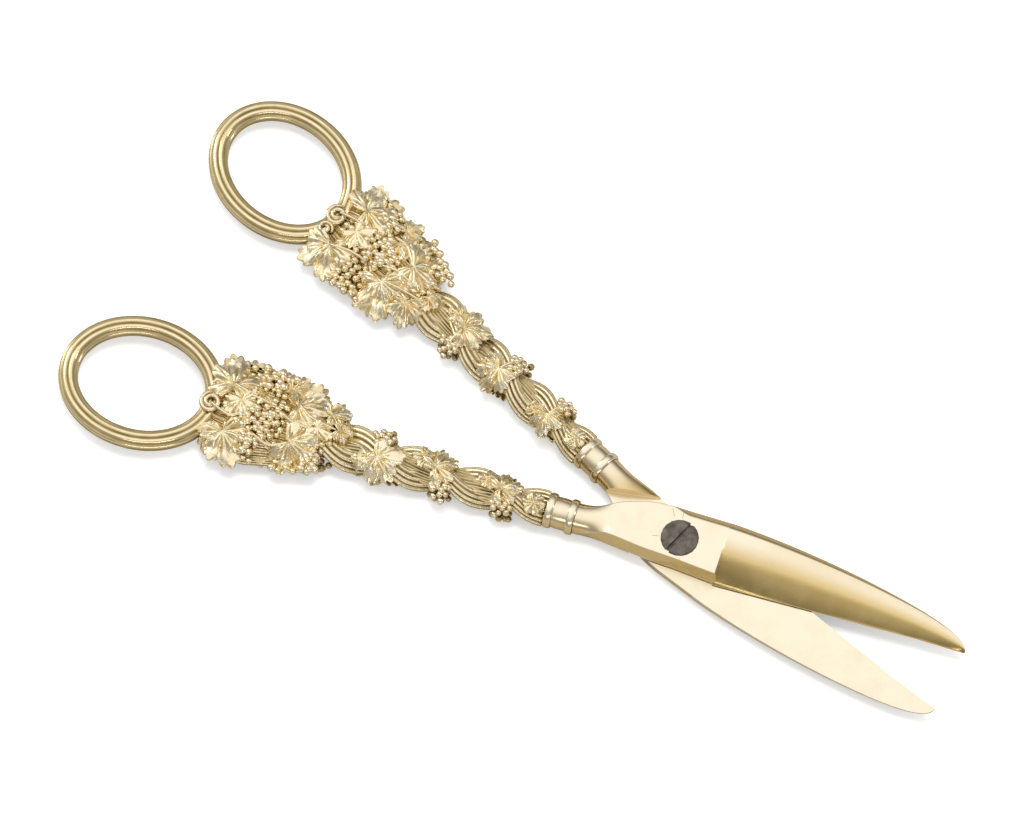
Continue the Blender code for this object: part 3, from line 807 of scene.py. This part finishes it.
def ferrule_shape():
    """Turned collar: a round band at each end of a slightly swelled barrel."""
    shape = new_shape()
    profile = [(-ferrule_back, ferrule_bore)]
    for start in (-ferrule_back, -ferrule_front - band_length):
        for step in range(band_steps + 1):
            turn = math.pi * step / band_steps
            profile.append((
                start + band_length / 2 * (1 - math.cos(turn)),
                mix(ferrule_radius, band_radius, math.sin(turn) ** band_fullness),
            ))
        if start == -ferrule_back:
            run = ferrule_back - ferrule_front - 2 * band_length
            for step in range(1, barrel_steps):
                share = step / barrel_steps
                profile.append((
                    start + band_length + run * share,
                    ferrule_radius + ferrule_swell * math.sin(math.pi * share),
                ))
    profile.append((-ferrule_front, ferrule_bore))
    corners = [shape.verts.new((along, 0, radius)) for along, radius in profile]
    edges = [shape.edges.new(pair) for pair in zip(corners, corners[1:] + corners[:1])]
    bmesh.ops.spin(
        shape, geom=corners + edges, cent=(0, 0, 0), axis=(1, 0, 0), angle=math.tau,
        steps=ferrule_sides, use_merge=True)
    bmesh.ops.remove_doubles(shape, verts=shape.verts, dist=seam)
    relief = shape.verts.layers.float["relief"]
    for corner in shape.verts:
        radius = math.hypot(corner.co.y, corner.co.z)
        band = min(max((radius - ferrule_radius) / band_edge, 0.0), 1.0)
        corner[relief] = ferrule_relief + ferrule_top_relief * (corner.co.z / radius) ** 2
        corner[relief] += band_relief * band
    return shape


# Bolster and blade

# How far the bolster's top reaches to each side, as shares of its full reach, along its run
back_top_shares = ((0.0, 0.43), (0.17, 0.38), (0.35, 0.58), (0.53, 0.80), (0.67, 0.93), (1.0, 1.0))
edge_top_shares = ((0.0, 0.50), (0.17, 0.58), (0.35, 0.66), (0.53, 0.74), (0.67, 0.81), (1.0, 0.87))
smooth_reach, smooth_steps = 0.07, 3


def smooth_table(table, place):
    """Read a table with its corners rounded off."""
    near = []
    for step in range(-smooth_steps, smooth_steps + 1):
        beside = place + smooth_reach * step / smooth_steps
        near.append(table_value(table, min(max(beside, 0.0), 1.0)))
    return sum(near) / len(near)


def bevel_relief(share):
    """Relief down a bevel, from its upper edge at 0 to its lower edge at 1: painted shade that
    deepens down the bevel.
    """
    return max(0.8 - 2.0 * share, 0.1)


def bolster_section(along, run):
    """Corners of the squared bolster at one place: back wall, flat top, front wall, underside."""
    back_top = bolster_back_reach * smooth_table(back_top_shares, min(run, 1.0))
    edge_top = -bolster_edge_reach * smooth_table(edge_top_shares, min(run, 1.0))
    if along > 0:
        edge_top = mix(edge_top, -bolster_edge_reach, along / bolster_front)
    back_foot, edge_foot = back_top + back_lean, edge_top - side_lean
    depth = mix(shoulder_depth, shank_radius, max(1 - run / shoulder_run, 0.0))
    grown = ease((along - back_bevel_start) / back_bevel_growth)
    reach = mix(edge_round, back_bevel_reach, grown)
    drop = mix(edge_round, back_bevel_drop, grown)
    rim = half_thickness - edge_round
    back_top = mix(back_top, back_foot, grown)
    corners = []
    wall_shares = [step / (wall_steps - 1) for step in range(wall_steps)]
    for share in wall_shares:
        corners.append((mix(back_foot, back_top, share), (half_thickness - drop) * share))
    for step in range(bevel_steps, 0, -1):
        share = step / (bevel_steps + 1)
        fall = drop * share ** back_bevel_power
        corners.append((back_top - reach * (1 - share), half_thickness - fall))
    for step in range(top_steps):
        across = mix(back_top - reach, edge_top + edge_round, step / (top_steps - 1))
        corners.append((across, half_thickness))
    corners.append((edge_top + edge_cut, half_thickness - edge_cut))
    for share in wall_shares:
        corners.append((mix(edge_top, edge_foot, share), rim * (1 - share)))
    for step in range(1, under_steps + 1):
        angle = math.pi * (1 + step / under_steps)
        across = mix(edge_foot, back_foot, 0.5 + 0.5 * math.cos(angle))
        corners.append((across, depth * math.sin(angle)))
    return corners


def bolster_shape(blade_set, screw_seat):
    """Round shank that squares up to the flat-topped bolster round the screw."""
    columns, rows = 2 * wall_steps + bevel_steps + top_steps + under_steps, 72
    seat_radius, seat_depth = screw_seat
    bevel_end = wall_steps + bevel_steps
    top = range(wall_steps, bevel_end + top_steps + 1)
    sections = {}

    def place(column, row):
        # The row before the last is the upper edge of the front bevel, and the last its foot
        along = mix(-shank_back, bolster_front - front_bevel_reach, row / (rows - 1))
        along = min(along, bolster_front)
        run = (along + shank_back) / shank_back
        square = ease(run / square_run)
        if row not in sections:
            sections[row] = bolster_section(along, run)
        across, height = sections[row][column]
        if row == rows:
            height = min(height, half_thickness - front_bevel_drop)
        if column in top and math.hypot(along, across) < seat_radius:
            height -= seat_depth
        angle = math.tau * column / columns
        round_across = handle_line_at(along) + shank_radius * math.cos(angle)
        round_height = shank_radius * math.sin(angle)
        across, height = mix(round_across, across, square), mix(round_height, height, square)
        turn = blade_set * ease((run - square_run) / (1 - square_run))
        spot = Matrix.Rotation(turn, 3, "Z") @ Vector((along, across, height))
        # Relief: painted highlight on the flat top, painted shade on the walls, down the back bevel
        # and on the round shank's sides
        relief = 1.0 if column in top else wall_relief
        if wall_steps <= column < bevel_end:
            relief = bevel_relief((bevel_end - column) / (bevel_steps + 1))
        return spot, mix(mix(*shank_relief, abs(math.sin(angle)) ** 3), relief, square)

    shape = new_shape()
    skin(shape, columns, rows, place)
    ends = [edge for edge in shape.edges if edge.is_boundary]
    bmesh.ops.holes_fill(shape, edges=ends, sides=0)
    cut_to_joint(shape)
    return shape


def cut_to_joint(shape):
    """Clear the far side of the joint plane, from the slanting shoulder wall forwards."""
    wall_run = (shoulder_nose - shoulder_tail).normalized()
    ahead = Vector((-wall_run.y, wall_run.x, 0))
    wall_spot = Vector((*shoulder_tail, 0))
    joint_spot = Vector((0, 0, half_gap))
    for spot, direction in ((joint_spot, Vector((0, 0, 1))), (wall_spot, ahead)):
        geometry = list(shape.verts) + list(shape.edges) + list(shape.faces)
        bmesh.ops.bisect_plane(
            shape, geom=geometry, dist=seam, plane_co=spot, plane_no=direction)
    gone = []
    for face in shape.faces:
        middle = face.calc_center_median()
        if middle.z < half_gap and (middle - wall_spot).dot(ahead) > 0:
            gone.append(face)
    bmesh.ops.delete(shape, geom=gone, context="FACES")
    rim = [edge for edge in shape.edges if edge.is_boundary]
    near = 0.01 * mm

    def on_joint(corner):
        return abs(corner.co.z - half_gap) < near

    def on_wall(corner):
        return abs((corner.co - wall_spot).dot(ahead)) < near

    corners = {corner for edge in rim for corner in edge.verts}
    link = shape.edges.new([corner for corner in corners if on_joint(corner) and on_wall(corner)])
    for lies_on in (on_joint, on_wall):
        loop = [edge for edge in rim if all(lies_on(corner) for corner in edge.verts)]
        bmesh.ops.edgeloop_fill(shape, edges=loop + [link])
    # The cut face on the joint plane is given the flats' pale tone, a painted highlight
    relief = shape.verts.layers.float["relief"]
    for corner in shape.verts:
        if on_joint(corner) and (corner.co - wall_spot).dot(ahead) > -near:
            corner[relief] = 1.0


# Blade's outer face: it rises from the cutting edge to a crest and falls a little to its back
crest_share = 0.78
edge_height = 0.05
face_power = 2.05
back_fall, back_fall_run = 0.04, 0.2
chamfer_starts = (0.85, 0.92)
chamfer_fall = 0.45
# Height of its flat inner face, and the least thickness of its edge over that
blade_flat = half_gap + 0.01 * mm
edge_thickness = 0.04 * mm
# Its outline: how the rows crowd to the tip, where it stops narrowing, and the tip's curve
row_crowding = 1.5
narrowing_run = 0.8
tip_curve = 1.65
tip_fullness = (0.6, 0.5)
tip_settling = 6
root_rise_run = 0.35
# Its relief: painted shade along the cutting edge, and a little less painted highlight from the root
# onwards
face_relief = (1.0, 0.8)
face_relief_run = 0.3
dark_share, dark_reach = 0.32, 0.46


def blade_height(share):
    """Height of the blade's outer face, as shares, from cutting edge to back."""
    if share < crest_share:
        return mix(edge_height, 1.0, 1 - ((crest_share - share) / crest_share) ** face_power)
    return 1 - back_fall * ((share - crest_share) / back_fall_run) ** 2


def blade_shape(blade_set):
    """Half-round blade with a chamfered back, a thin edge and a flat inner face."""
    face_columns, back_columns, rows = 42, 5, 72
    columns = face_columns + back_columns + 3

    def place(column, row):
        share = 1 - (1 - row / rows) ** row_crowding
        along = mix(blade_root, blade_length, share)
        run = max(along - bolster_front, 0.0) / (blade_length - bolster_front)
        edge = -mix(blade_edge_reach, blade_tip_reach, min(run / narrowing_run, 1.0))
        fullness = max(1 - run ** tip_curve, 0.0) ** mix(*tip_fullness, run ** tip_settling)
        width = max((blade_back_reach - edge) * fullness, blade_tip_width)
        crown = mix(blade_crown, blade_tip_thickness, run)
        crown += blade_root_rise * max(1 - run / root_rise_run, 0.0) ** 2
        chamfer = mix(*chamfer_starts, run)
        back_step = column - face_columns
        relief = 1.0
        if column <= face_columns:
            out = mix(edge_land, chamfer, (column - 1) / (face_columns - 1)) if column else 0.0
            height = crown * blade_height(out if column > 1 else 0.0)
            height = max(height, blade_flat + edge_thickness)
            relief = mix(*face_relief, ease(run / face_relief_run))
            relief *= ease((out - dark_share) / dark_reach)
        elif back_step <= back_columns:
            share = back_step / back_columns
            out = mix(chamfer, 1.0, share)
            height = crown * (blade_height(chamfer) - chamfer_fall * share ** back_bevel_power)
            relief = bevel_relief(share)
        elif back_step == back_columns + 1:
            out, height = 1.0, blade_flat
        else:
            out, height = 0.0, blade_flat
            if column == columns:
                height = max(crown * blade_height(0.0), blade_flat + edge_thickness)
                relief = 0.0
        spot = Matrix.Rotation(blade_set, 3, "Z") @ Vector((along, edge + width * out, height))
        return spot, relief

    shape = new_shape()
    skin(shape, columns, rows, place)
    ends = [edge for edge in shape.edges if edge.is_boundary]
    bmesh.ops.holes_fill(shape, edges=ends, sides=0)
    return shape


# Materials

class Wire:
    """A shader value that Python's arithmetic can be written on."""

    def __init__(self, finish, socket):
        self.finish = finish
        self.socket = socket

    def math(self, operation, first, second):
        return self.finish.add("ShaderNodeMath", {"operation": operation}, {0: first, 1: second})

    def __add__(self, other):
        return self.math("ADD", self, other)

    def __mul__(self, other):
        return self.math("MULTIPLY", self, other)

    def __sub__(self, other):
        return self.math("SUBTRACT", self, other)

    def __rsub__(self, other):
        return self.math("SUBTRACT", other, self)

    __radd__ = __add__
    __rmul__ = __mul__


class Finish:
    """One procedural material, built up from the shader's own sockets."""

    def __init__(self, name):
        self.material = bpy.data.materials.new(name)
        self.material.use_nodes = True
        self.nodes = self.material.node_tree.nodes
        self.links = self.material.node_tree.links
        self.shader = self.nodes["Principled BSDF"]

    def feed(self, socket, value):
        if isinstance(value, Wire):
            self.links.new(value.socket, socket)
        else:
            socket.default_value = value

    def add(self, kind, settings=None, values=None, output=0):
        """Add any node: its settings first, then the values or links of its sockets."""
        made = self.nodes.new(kind)
        for name, value in (settings or {}).items():
            setattr(made, name, value)
        for socket, value in (values or {}).items():
            self.feed(made.inputs[socket], value)
        return Wire(self, made.outputs[output])

    def noise(self, place, scale, detail, rough=0.55):
        return self.add("ShaderNodeTexNoise", None, {
            "Vector": place, "Scale": scale, "Detail": detail, "Roughness": rough})

    def clamped(self, value, low, high):
        """Value drawn out so that low becomes 0 and high becomes 1."""
        return self.add("ShaderNodeMapRange", None, {
            "Value": value, "From Min": low, "From Max": high})

    def blended(self, share, first, second):
        """Colour that is first at a share of 0 and second at a share of 1."""
        return self.add(
            "ShaderNodeMix", {"data_type": "RGBA"}, {0: share, 6: first, 7: second}, output=2)

    def object_place(self, turn=0.0, scale=(1.0, 1.0, 1.0)):
        place = self.add("ShaderNodeTexCoord", output="Object")
        return self.add("ShaderNodeMapping", None, {
            "Vector": place, "Rotation": (0.0, 0.0, turn), "Scale": scale})

    def set(self, **values):
        for name, value in values.items():
            self.feed(self.shader.inputs[name.replace("_", " ")], value)

    def bump(self, height, distance, strength):
        return self.add("ShaderNodeBump", None, {
            "Strength": strength, "Distance": distance, "Height": height})


def rgb(red, green, blue):
    return (red, green, blue, 1.0)


# Tones of the one gilding that the relief picks between: pale_gold and flat_gold carry painted
# highlight, and deep_gold, wall_gold and blade_gold carry painted shade. deep_gold also colours the
# scribed marks, and warm_gold the gilding's own warmer patches.
pale_gold = rgb(0.99, 0.85, 0.55)
deep_gold = rgb(0.38, 0.28, 0.11)
warm_gold = rgb(0.78, 0.62, 0.34)
flat_gold = rgb(0.97, 0.88, 0.70)
wall_gold = rgb(0.74, 0.56, 0.26)
blade_gold = rgb(0.45, 0.33, 0.13)
dark_brown = rgb(0.10, 0.085, 0.07)
worn_brown = rgb(0.24, 0.215, 0.185)
paper_white = rgb(0.9, 0.9, 0.9)
paper_plain = rgb(0.28, 0.26, 0.22)


def cast_gilt(name, roughness, crumpling=0.65):
    """Cast and chased gilding: painted shade in the hollows and on the undersides, painted highlight
    and rubbed gilt on the heights.
    """
    finish = Finish(name)
    place = finish.object_place()
    height = finish.add("ShaderNodeAttribute", {"attribute_name": "relief"}, output="Fac")
    mottle = finish.noise(place, scale=420, detail=4)
    grain = finish.noise(place, scale=5200, detail=2)
    crumple = finish.noise(place, scale=1500, detail=3, rough=0.6)
    # Painted shade where the relief is low, painted highlight and rubbed gilt where it is high
    shade_and_rubbing = finish.clamped(height + 0.45 * (mottle - 0.5), low=-0.06, high=0.54)
    tone = finish.blended(shade_and_rubbing, deep_gold, pale_gold)
    # Painted highlight: the highest relief is paled towards flat_gold
    bright = finish.clamped(height + 0.3 * (mottle - 0.5), low=0.60, high=1.05)
    tone = finish.blended(0.8 * bright, tone, flat_gold)
    patch = finish.clamped(finish.noise(place, scale=160, detail=3), low=0.42, high=0.68)
    finish.set(
        Base_Color=finish.blended(0.45 * patch, tone, warm_gold),
        Metallic=1.0,
        Roughness=roughness + 0.20 * (1 - shade_and_rubbing) + 0.08 * (mottle - 0.5),
        Normal=finish.bump(0.25 * grain + crumple, distance=0.15 * mm, strength=crumpling),
    )
    return finish.material


# Scribed marks round the screw: which way each lies, where it starts and how long it is
ticks = ((112.7, 3.9, 1.3), (133.6, 4.3, 1.7), (205.8, 3.9, 1.2), (299.2, 3.9, 1.3))
# Half the marks' width, the height of the face they are on and their depth there, in millimetres
tick_half_width = 0.055
tick_height, tick_depth = 7.6, 0.25


def tick_marks(finish):
    """Short scribed lines that point away from the screw."""
    lines = []
    for degrees, start, length in ticks:
        place = finish.object_place(-math.radians(degrees), (1 / mm, 1 / mm, 1 / mm))
        apart = finish.add("ShaderNodeSeparateXYZ", None, {"Vector": place})
        along = Wire(finish, apart.socket.node.outputs["X"])
        across = Wire(finish, apart.socket.node.outputs["Y"])
        height = Wire(finish, apart.socket.node.outputs["Z"])
        line = 1.0
        for wire, middle, reach in (
            (across, 0.0, tick_half_width), (along, start + length / 2, length / 2),
            (height, tick_height, tick_depth),
        ):
            near = wire.math("COMPARE", wire, middle)
            near.socket.node.inputs[2].default_value = reach
            line = near * line
        lines.append(line)
    return sum(lines[1:], lines[0])


def polished_gilt(name, turn, ticked=False):
    """Smooth gilding with fine scratches, wipe marks and thin places, deep gold with painted shade
    on the walls and towards the cutting edge, and pale on the flats as a painted highlight.
    """
    finish = Finish(name)
    place = finish.object_place()
    sheen_and_shade = finish.add("ShaderNodeAttribute", {"attribute_name": "relief"}, output="Fac")
    # Painted shade on the walls and towards the cutting edge, painted highlight on the flats
    walls = finish.clamped(sheen_and_shade, low=0.0, high=wall_relief)
    colour = finish.blended(walls, blade_gold, wall_gold)
    flats = finish.clamped(sheen_and_shade, low=wall_relief, high=1.0)
    colour = finish.blended(flats, colour, flat_gold)
    drawn = finish.object_place(turn, (14.0, 420.0, 14.0))
    crossed = finish.object_place(turn + 0.9, (9.0, 260.0, 9.0))
    mottle = finish.noise(place, scale=210, detail=4)
    wipes = finish.noise(drawn, scale=22, detail=3)
    scratches = finish.clamped(finish.noise(drawn, scale=70, detail=2), low=0.62, high=0.74)
    stray = finish.clamped(finish.noise(crossed, scale=60, detail=2), low=0.68, high=0.76)
    thin = finish.clamped(mottle, low=0.45, high=0.75)
    colour = finish.blended(0.22 * thin, colour, warm_gold)
    if ticked:
        marks = tick_marks(finish)
        colour = finish.blended(0.75 * marks, colour, deep_gold)
    finish.set(
        Base_Color=colour,
        Metallic=1.0,
        Roughness=0.17 + 0.10 * wipes + 0.08 * thin + 0.12 * scratches,
        Normal=finish.bump(
            0.5 * wipes - 0.8 * scratches - 0.5 * stray, distance=0.004 * mm, strength=0.35),
    )
    return finish.material


def dark_steel():
    """Browned screw steel, mottled and finely pitted."""
    finish = Finish("browned_steel")
    place = finish.object_place()
    mottle = finish.noise(place, scale=650, detail=5, rough=0.65)
    fine = finish.noise(place, scale=3400, detail=3)
    pits = finish.clamped(fine, low=0.60, high=0.72)
    worn = finish.clamped(mottle, low=0.38, high=0.66)
    finish.set(
        Base_Color=finish.blended(worn, dark_brown, worn_brown),
        Metallic=0.85,
        Roughness=0.38 + 0.25 * mottle + 0.1 * pits,
        Normal=finish.bump(mottle - 0.5 * pits, distance=0.03 * mm, strength=0.5),
    )
    return finish.material


# How brightly the paper shines by itself, and how much of its white the gilding mirrors
paper_shine = 0.37
mirrored_share = 0.22


def floor_finish():
    """White paper: seen white, with the object's soft shadow on it, and mirrored dimly."""
    finish = Finish("white_paper")
    finish.nodes.remove(finish.shader)
    seen = finish.add("ShaderNodeLightPath", output="Is Camera Ray")
    rays = seen.socket.node.outputs
    mirrored = Wire(finish, rays["Is Glossy Ray"]) + Wire(finish, rays["Is Transmission Ray"])
    first_bounce = seen.math("LESS_THAN", Wire(finish, rays["Ray Depth"]), 1.5)
    paper = finish.add("ShaderNodeBsdfDiffuse", None, {"Color": paper_white})
    shine = finish.add("ShaderNodeEmission", None, {"Color": rgb(1, 1, 1), "Strength": paper_shine})
    bright = finish.add("ShaderNodeAddShader", None, {0: paper, 1: shine})
    plain = finish.add("ShaderNodeBsdfDiffuse", None, {"Color": paper_plain})
    surface = finish.add("ShaderNodeMixShader", None, {
        0: seen + mirrored_share * mirrored * first_bounce, 1: plain, 2: bright})
    output = finish.nodes["Material Output"]
    finish.links.new(surface.socket, output.inputs["Surface"])
    return finish.material


# Assembly

turn_over = Matrix.Rotation(math.pi, 4, "X")
half_places = {
    "upper": Matrix.Translation((0, 0, joint_height)) @ Matrix.Rotation(handle_angle, 4, "Z"),
    "lower": Matrix.Translation((0, 0, joint_height)) @ Matrix.Rotation(-handle_angle, 4, "Z")
    @ turn_over,
}
handle_place = Matrix.Translation((0, -handle_offset, 0)) @ Matrix.Rotation(handle_turn, 4, "Z")
# Which face of each half lies to the floor, and how that face's head is shifted and narrowed
floor_side = {"upper": "inner", "lower": "outer"}
floor_side_shift = Matrix.Translation((-0.6 * mm, 1.0 * mm, 0))
floor_side_scale = Matrix.Diagonal((1.0, 0.92, 1.0, 1.0))


def put(name, mesh, place, half, materials, nodes):
    """Bake a mesh into its place as a finished piece that stands for CAD nodes."""
    baked = mesh.copy()
    baked.name = name
    baked.transform(place)
    piece = bpy.data.objects.new(name, baked)
    bpy.context.scene.collection.objects.link(piece)
    for material in materials:
        baked.materials.append(material)
    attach(piece, half + "_half")
    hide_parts(*nodes)


def dress_handles(cast, grapes, ring_gilt, polished):
    strands = {}
    for number, side in enumerate((1, -1), 1):
        shape = new_shape()
        strand(shape, side, strand_widths, 1.0, strand_thickness, strand_rise, strand_reeds)
        strand(
            shape, side, filler_widths, filler_spread_share, filler_thickness, filler_rise,
            filler_reeds)
        if side == 1:
            stem_core(shape)
        strands[number] = mesh_of(shape, f"strand_{number}")
    ring = new_shape()
    finger_ring(ring)
    ring_mesh = mesh_of(ring, "ring")
    collar = mesh_of(ferrule_shape(), "collar")
    heads = {face: mesh_of(head_shape(face), face + "_head") for face in ("outer", "inner")}
    small = {}
    for face, rows in sprigs.items():
        for number, row in enumerate(rows, 1):
            small[face, number] = mesh_of(sprig_shape(*row), f"{face}_sprig_{number}")
        bloom = new_shape()
        along, across = flowers[face]
        rosette(bloom, along * mm, across * mm)
        small[face, 0] = mesh_of(bloom, face + "_flower")

    for half, place in half_places.items():
        base = place @ handle_place
        gilt = [cast, grapes]
        put(f"{half}_reeded_ring", ring_mesh, base, half, [ring_gilt],
            [f"{half}_finger_ring"])
        put(f"{half}_turned_collar", collar, base, half, [polished],
            [f"{half}_ferrule"])
        for number, mesh in strands.items():
            put(f"{half}_reeded_strand_{number}", mesh, base, half, gilt,
                [f"{half}_vine_strand_{number}"])
        for face in ("outer", "inner"):
            seat = base if face == "outer" else base @ turn_over
            head_seat = seat
            if floor_side[half] == face:
                head_seat = floor_side_shift @ seat @ floor_side_scale
            put(f"{half}_{face}_vine_head", heads[face], head_seat, half, gilt,
                [f"{half}_{face}_leaf_spray"])
            for number in (1, 2, 3):
                put(f"{half}_{face}_vine_sprig_{number}", small[face, number], seat, half, gilt,
                    [f"{half}_{face}_sprig_{number}"])
            put(f"{half}_{face}_rosette", small[face, 0], seat, half, gilt,
                [f"{half}_{face}_collar_flower"])


blade_sharp_angle = math.radians(24)


def dress_blades(finishes):
    for half, blade_set in (("upper", 0.0), ("lower", lower_blade_set)):
        node = f"{half}_blade"
        bolster = bolster_shape(blade_set, screw_seats[half])
        bolster = mesh_of(bolster, half + "_bolster", blade_sharp_angle)
        blade = mesh_of(blade_shape(blade_set), half + "_cutting_blade", blade_sharp_angle)
        place = half_places[half]
        for name, mesh in ((f"{half}_bolster_and_shank", bolster), (f"{half}_cutting_blade", blade)):
            put(name, mesh, place, half, [finishes[half]], [node])


def dress_screw(steel):
    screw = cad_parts["pivot_screw"]
    screw.data.materials.clear()
    screw.data.materials.append(steel)


paper_size = 3.0
paper_drop = 0.05 * mm


def set_stage():
    mesh = bpy.data.meshes.new("paper")
    shape = bmesh.new()
    bmesh.ops.create_grid(shape, x_segments=1, y_segments=1, size=paper_size)
    shape.to_mesh(mesh)
    shape.free()
    mesh.materials.append(floor_finish())
    floor = bpy.data.objects.new("paper", mesh)
    floor.location.z = -paper_drop
    bpy.context.scene.collection.objects.link(floor)


# Camera: where it looks, which way, from how far in metres, and its lens, sensor and near end
view_target = Vector((-41.26, 7.91, 0.0)) * mm
view_forward = Vector((-0.1877, 0.3053, -0.9336))
view_distance = 1.2
view_lens = 224.9
view_sensor = 36.0
view_clip = 0.05


def set_camera():
    data = bpy.data.cameras.new("camera")
    data.lens = view_lens
    data.sensor_width = view_sensor
    data.clip_start = view_clip
    camera = bpy.data.objects.new("camera", data)
    camera.location = view_target - view_forward.normalized() * view_distance
    camera.rotation_mode = "QUATERNION"
    camera.rotation_quaternion = view_forward.to_track_quat("-Z", "Y")
    bpy.context.scene.collection.objects.link(camera)
    bpy.context.scene.camera = camera


# Lamps: name, where each stands, its size and its watts. The gilding doesn't mirror floor_key
lamps = (
    ("floor_key", (-0.09, 0.13, 0.70), (0.30, 0.30), 3.0),
    ("left_strip", (-0.70, 0.10, 0.42), (0.12, 0.6), 0.75),
    ("front_strip", (0.25, -0.62, 0.36), (0.6, 0.10), 0.7),
    ("right_strip", (0.62, 0.35, 0.40), (0.10, 0.5), 0.6),
)
# The sky: its tint and strength, what its bright part adds and what the dark one takes off
sky_tint = rgb(1.0, 0.985, 0.955)
sky_strength, key_strength, behind_loss = 0.36, 0.71, 0.2
key_direction = (-0.32, 0.20, 0.93)
behind_direction = (-0.49, 0.82, 0.05)


def add_light(name, spot, size, watts):
    data = bpy.data.lights.new(name, "AREA")
    data.shape = "RECTANGLE"
    data.size, data.size_y = size
    data.energy = watts
    lamp = bpy.data.objects.new(name, data)
    lamp.location = spot
    lamp.rotation_mode = "QUATERNION"
    lamp.rotation_quaternion = (view_target - Vector(spot)).to_track_quat("-Z", "Y")
    lamp.visible_glossy = name != "floor_key"
    bpy.context.scene.collection.objects.link(lamp)


class Sky(Finish):
    """The studio's surroundings, shaded by direction."""

    def __init__(self, name):
        world = bpy.data.worlds.new(name)
        world.use_nodes = True
        bpy.context.scene.world = world
        self.nodes = world.node_tree.nodes
        self.links = world.node_tree.links
        self.shader = self.nodes["Background"]
        self.place = self.add("ShaderNodeTexCoord", output="Generated")

    def lobe(self, direction, inner, outer):
        """1 near a direction, falling softly to 0 between two angles in degrees."""
        towards = self.add(
            "ShaderNodeVectorMath", {"operation": "DOT_PRODUCT"},
            {0: self.place, 1: Vector(direction).normalized()}, output="Value")
        return self.add("ShaderNodeMapRange", {"interpolation_type": "SMOOTHSTEP"}, {
            "Value": towards, "From Min": math.cos(math.radians(outer)),
            "From Max": math.cos(math.radians(inner))})


def set_lights():
    sky = Sky("studio")
    key = sky.lobe(key_direction, inner=24, outer=66)
    behind = sky.lobe(behind_direction, inner=25, outer=62)
    strength = sky_strength + key_strength * key - behind_loss * behind
    sky.set(Color=sky_tint, Strength=strength)
    for lamp in lamps:
        add_light(*lamp)
    bpy.context.scene.view_settings.view_transform = "Standard"


polished_outer = polished_gilt("polished_gilt_outer", -handle_angle, ticked=True)
polished_inner = polished_gilt("polished_gilt_inner", handle_angle - lower_blade_set)
dress_handles(
    cast_gilt("cast_gilt", roughness=0.21), cast_gilt("burnished_grapes", roughness=0.13),
    cast_gilt("burnished_ring", roughness=0.13, crumpling=0.12), polished_outer)
dress_blades({"upper": polished_outer, "lower": polished_inner})
dress_screw(dark_steel())
set_stage()
set_camera()
set_lights()
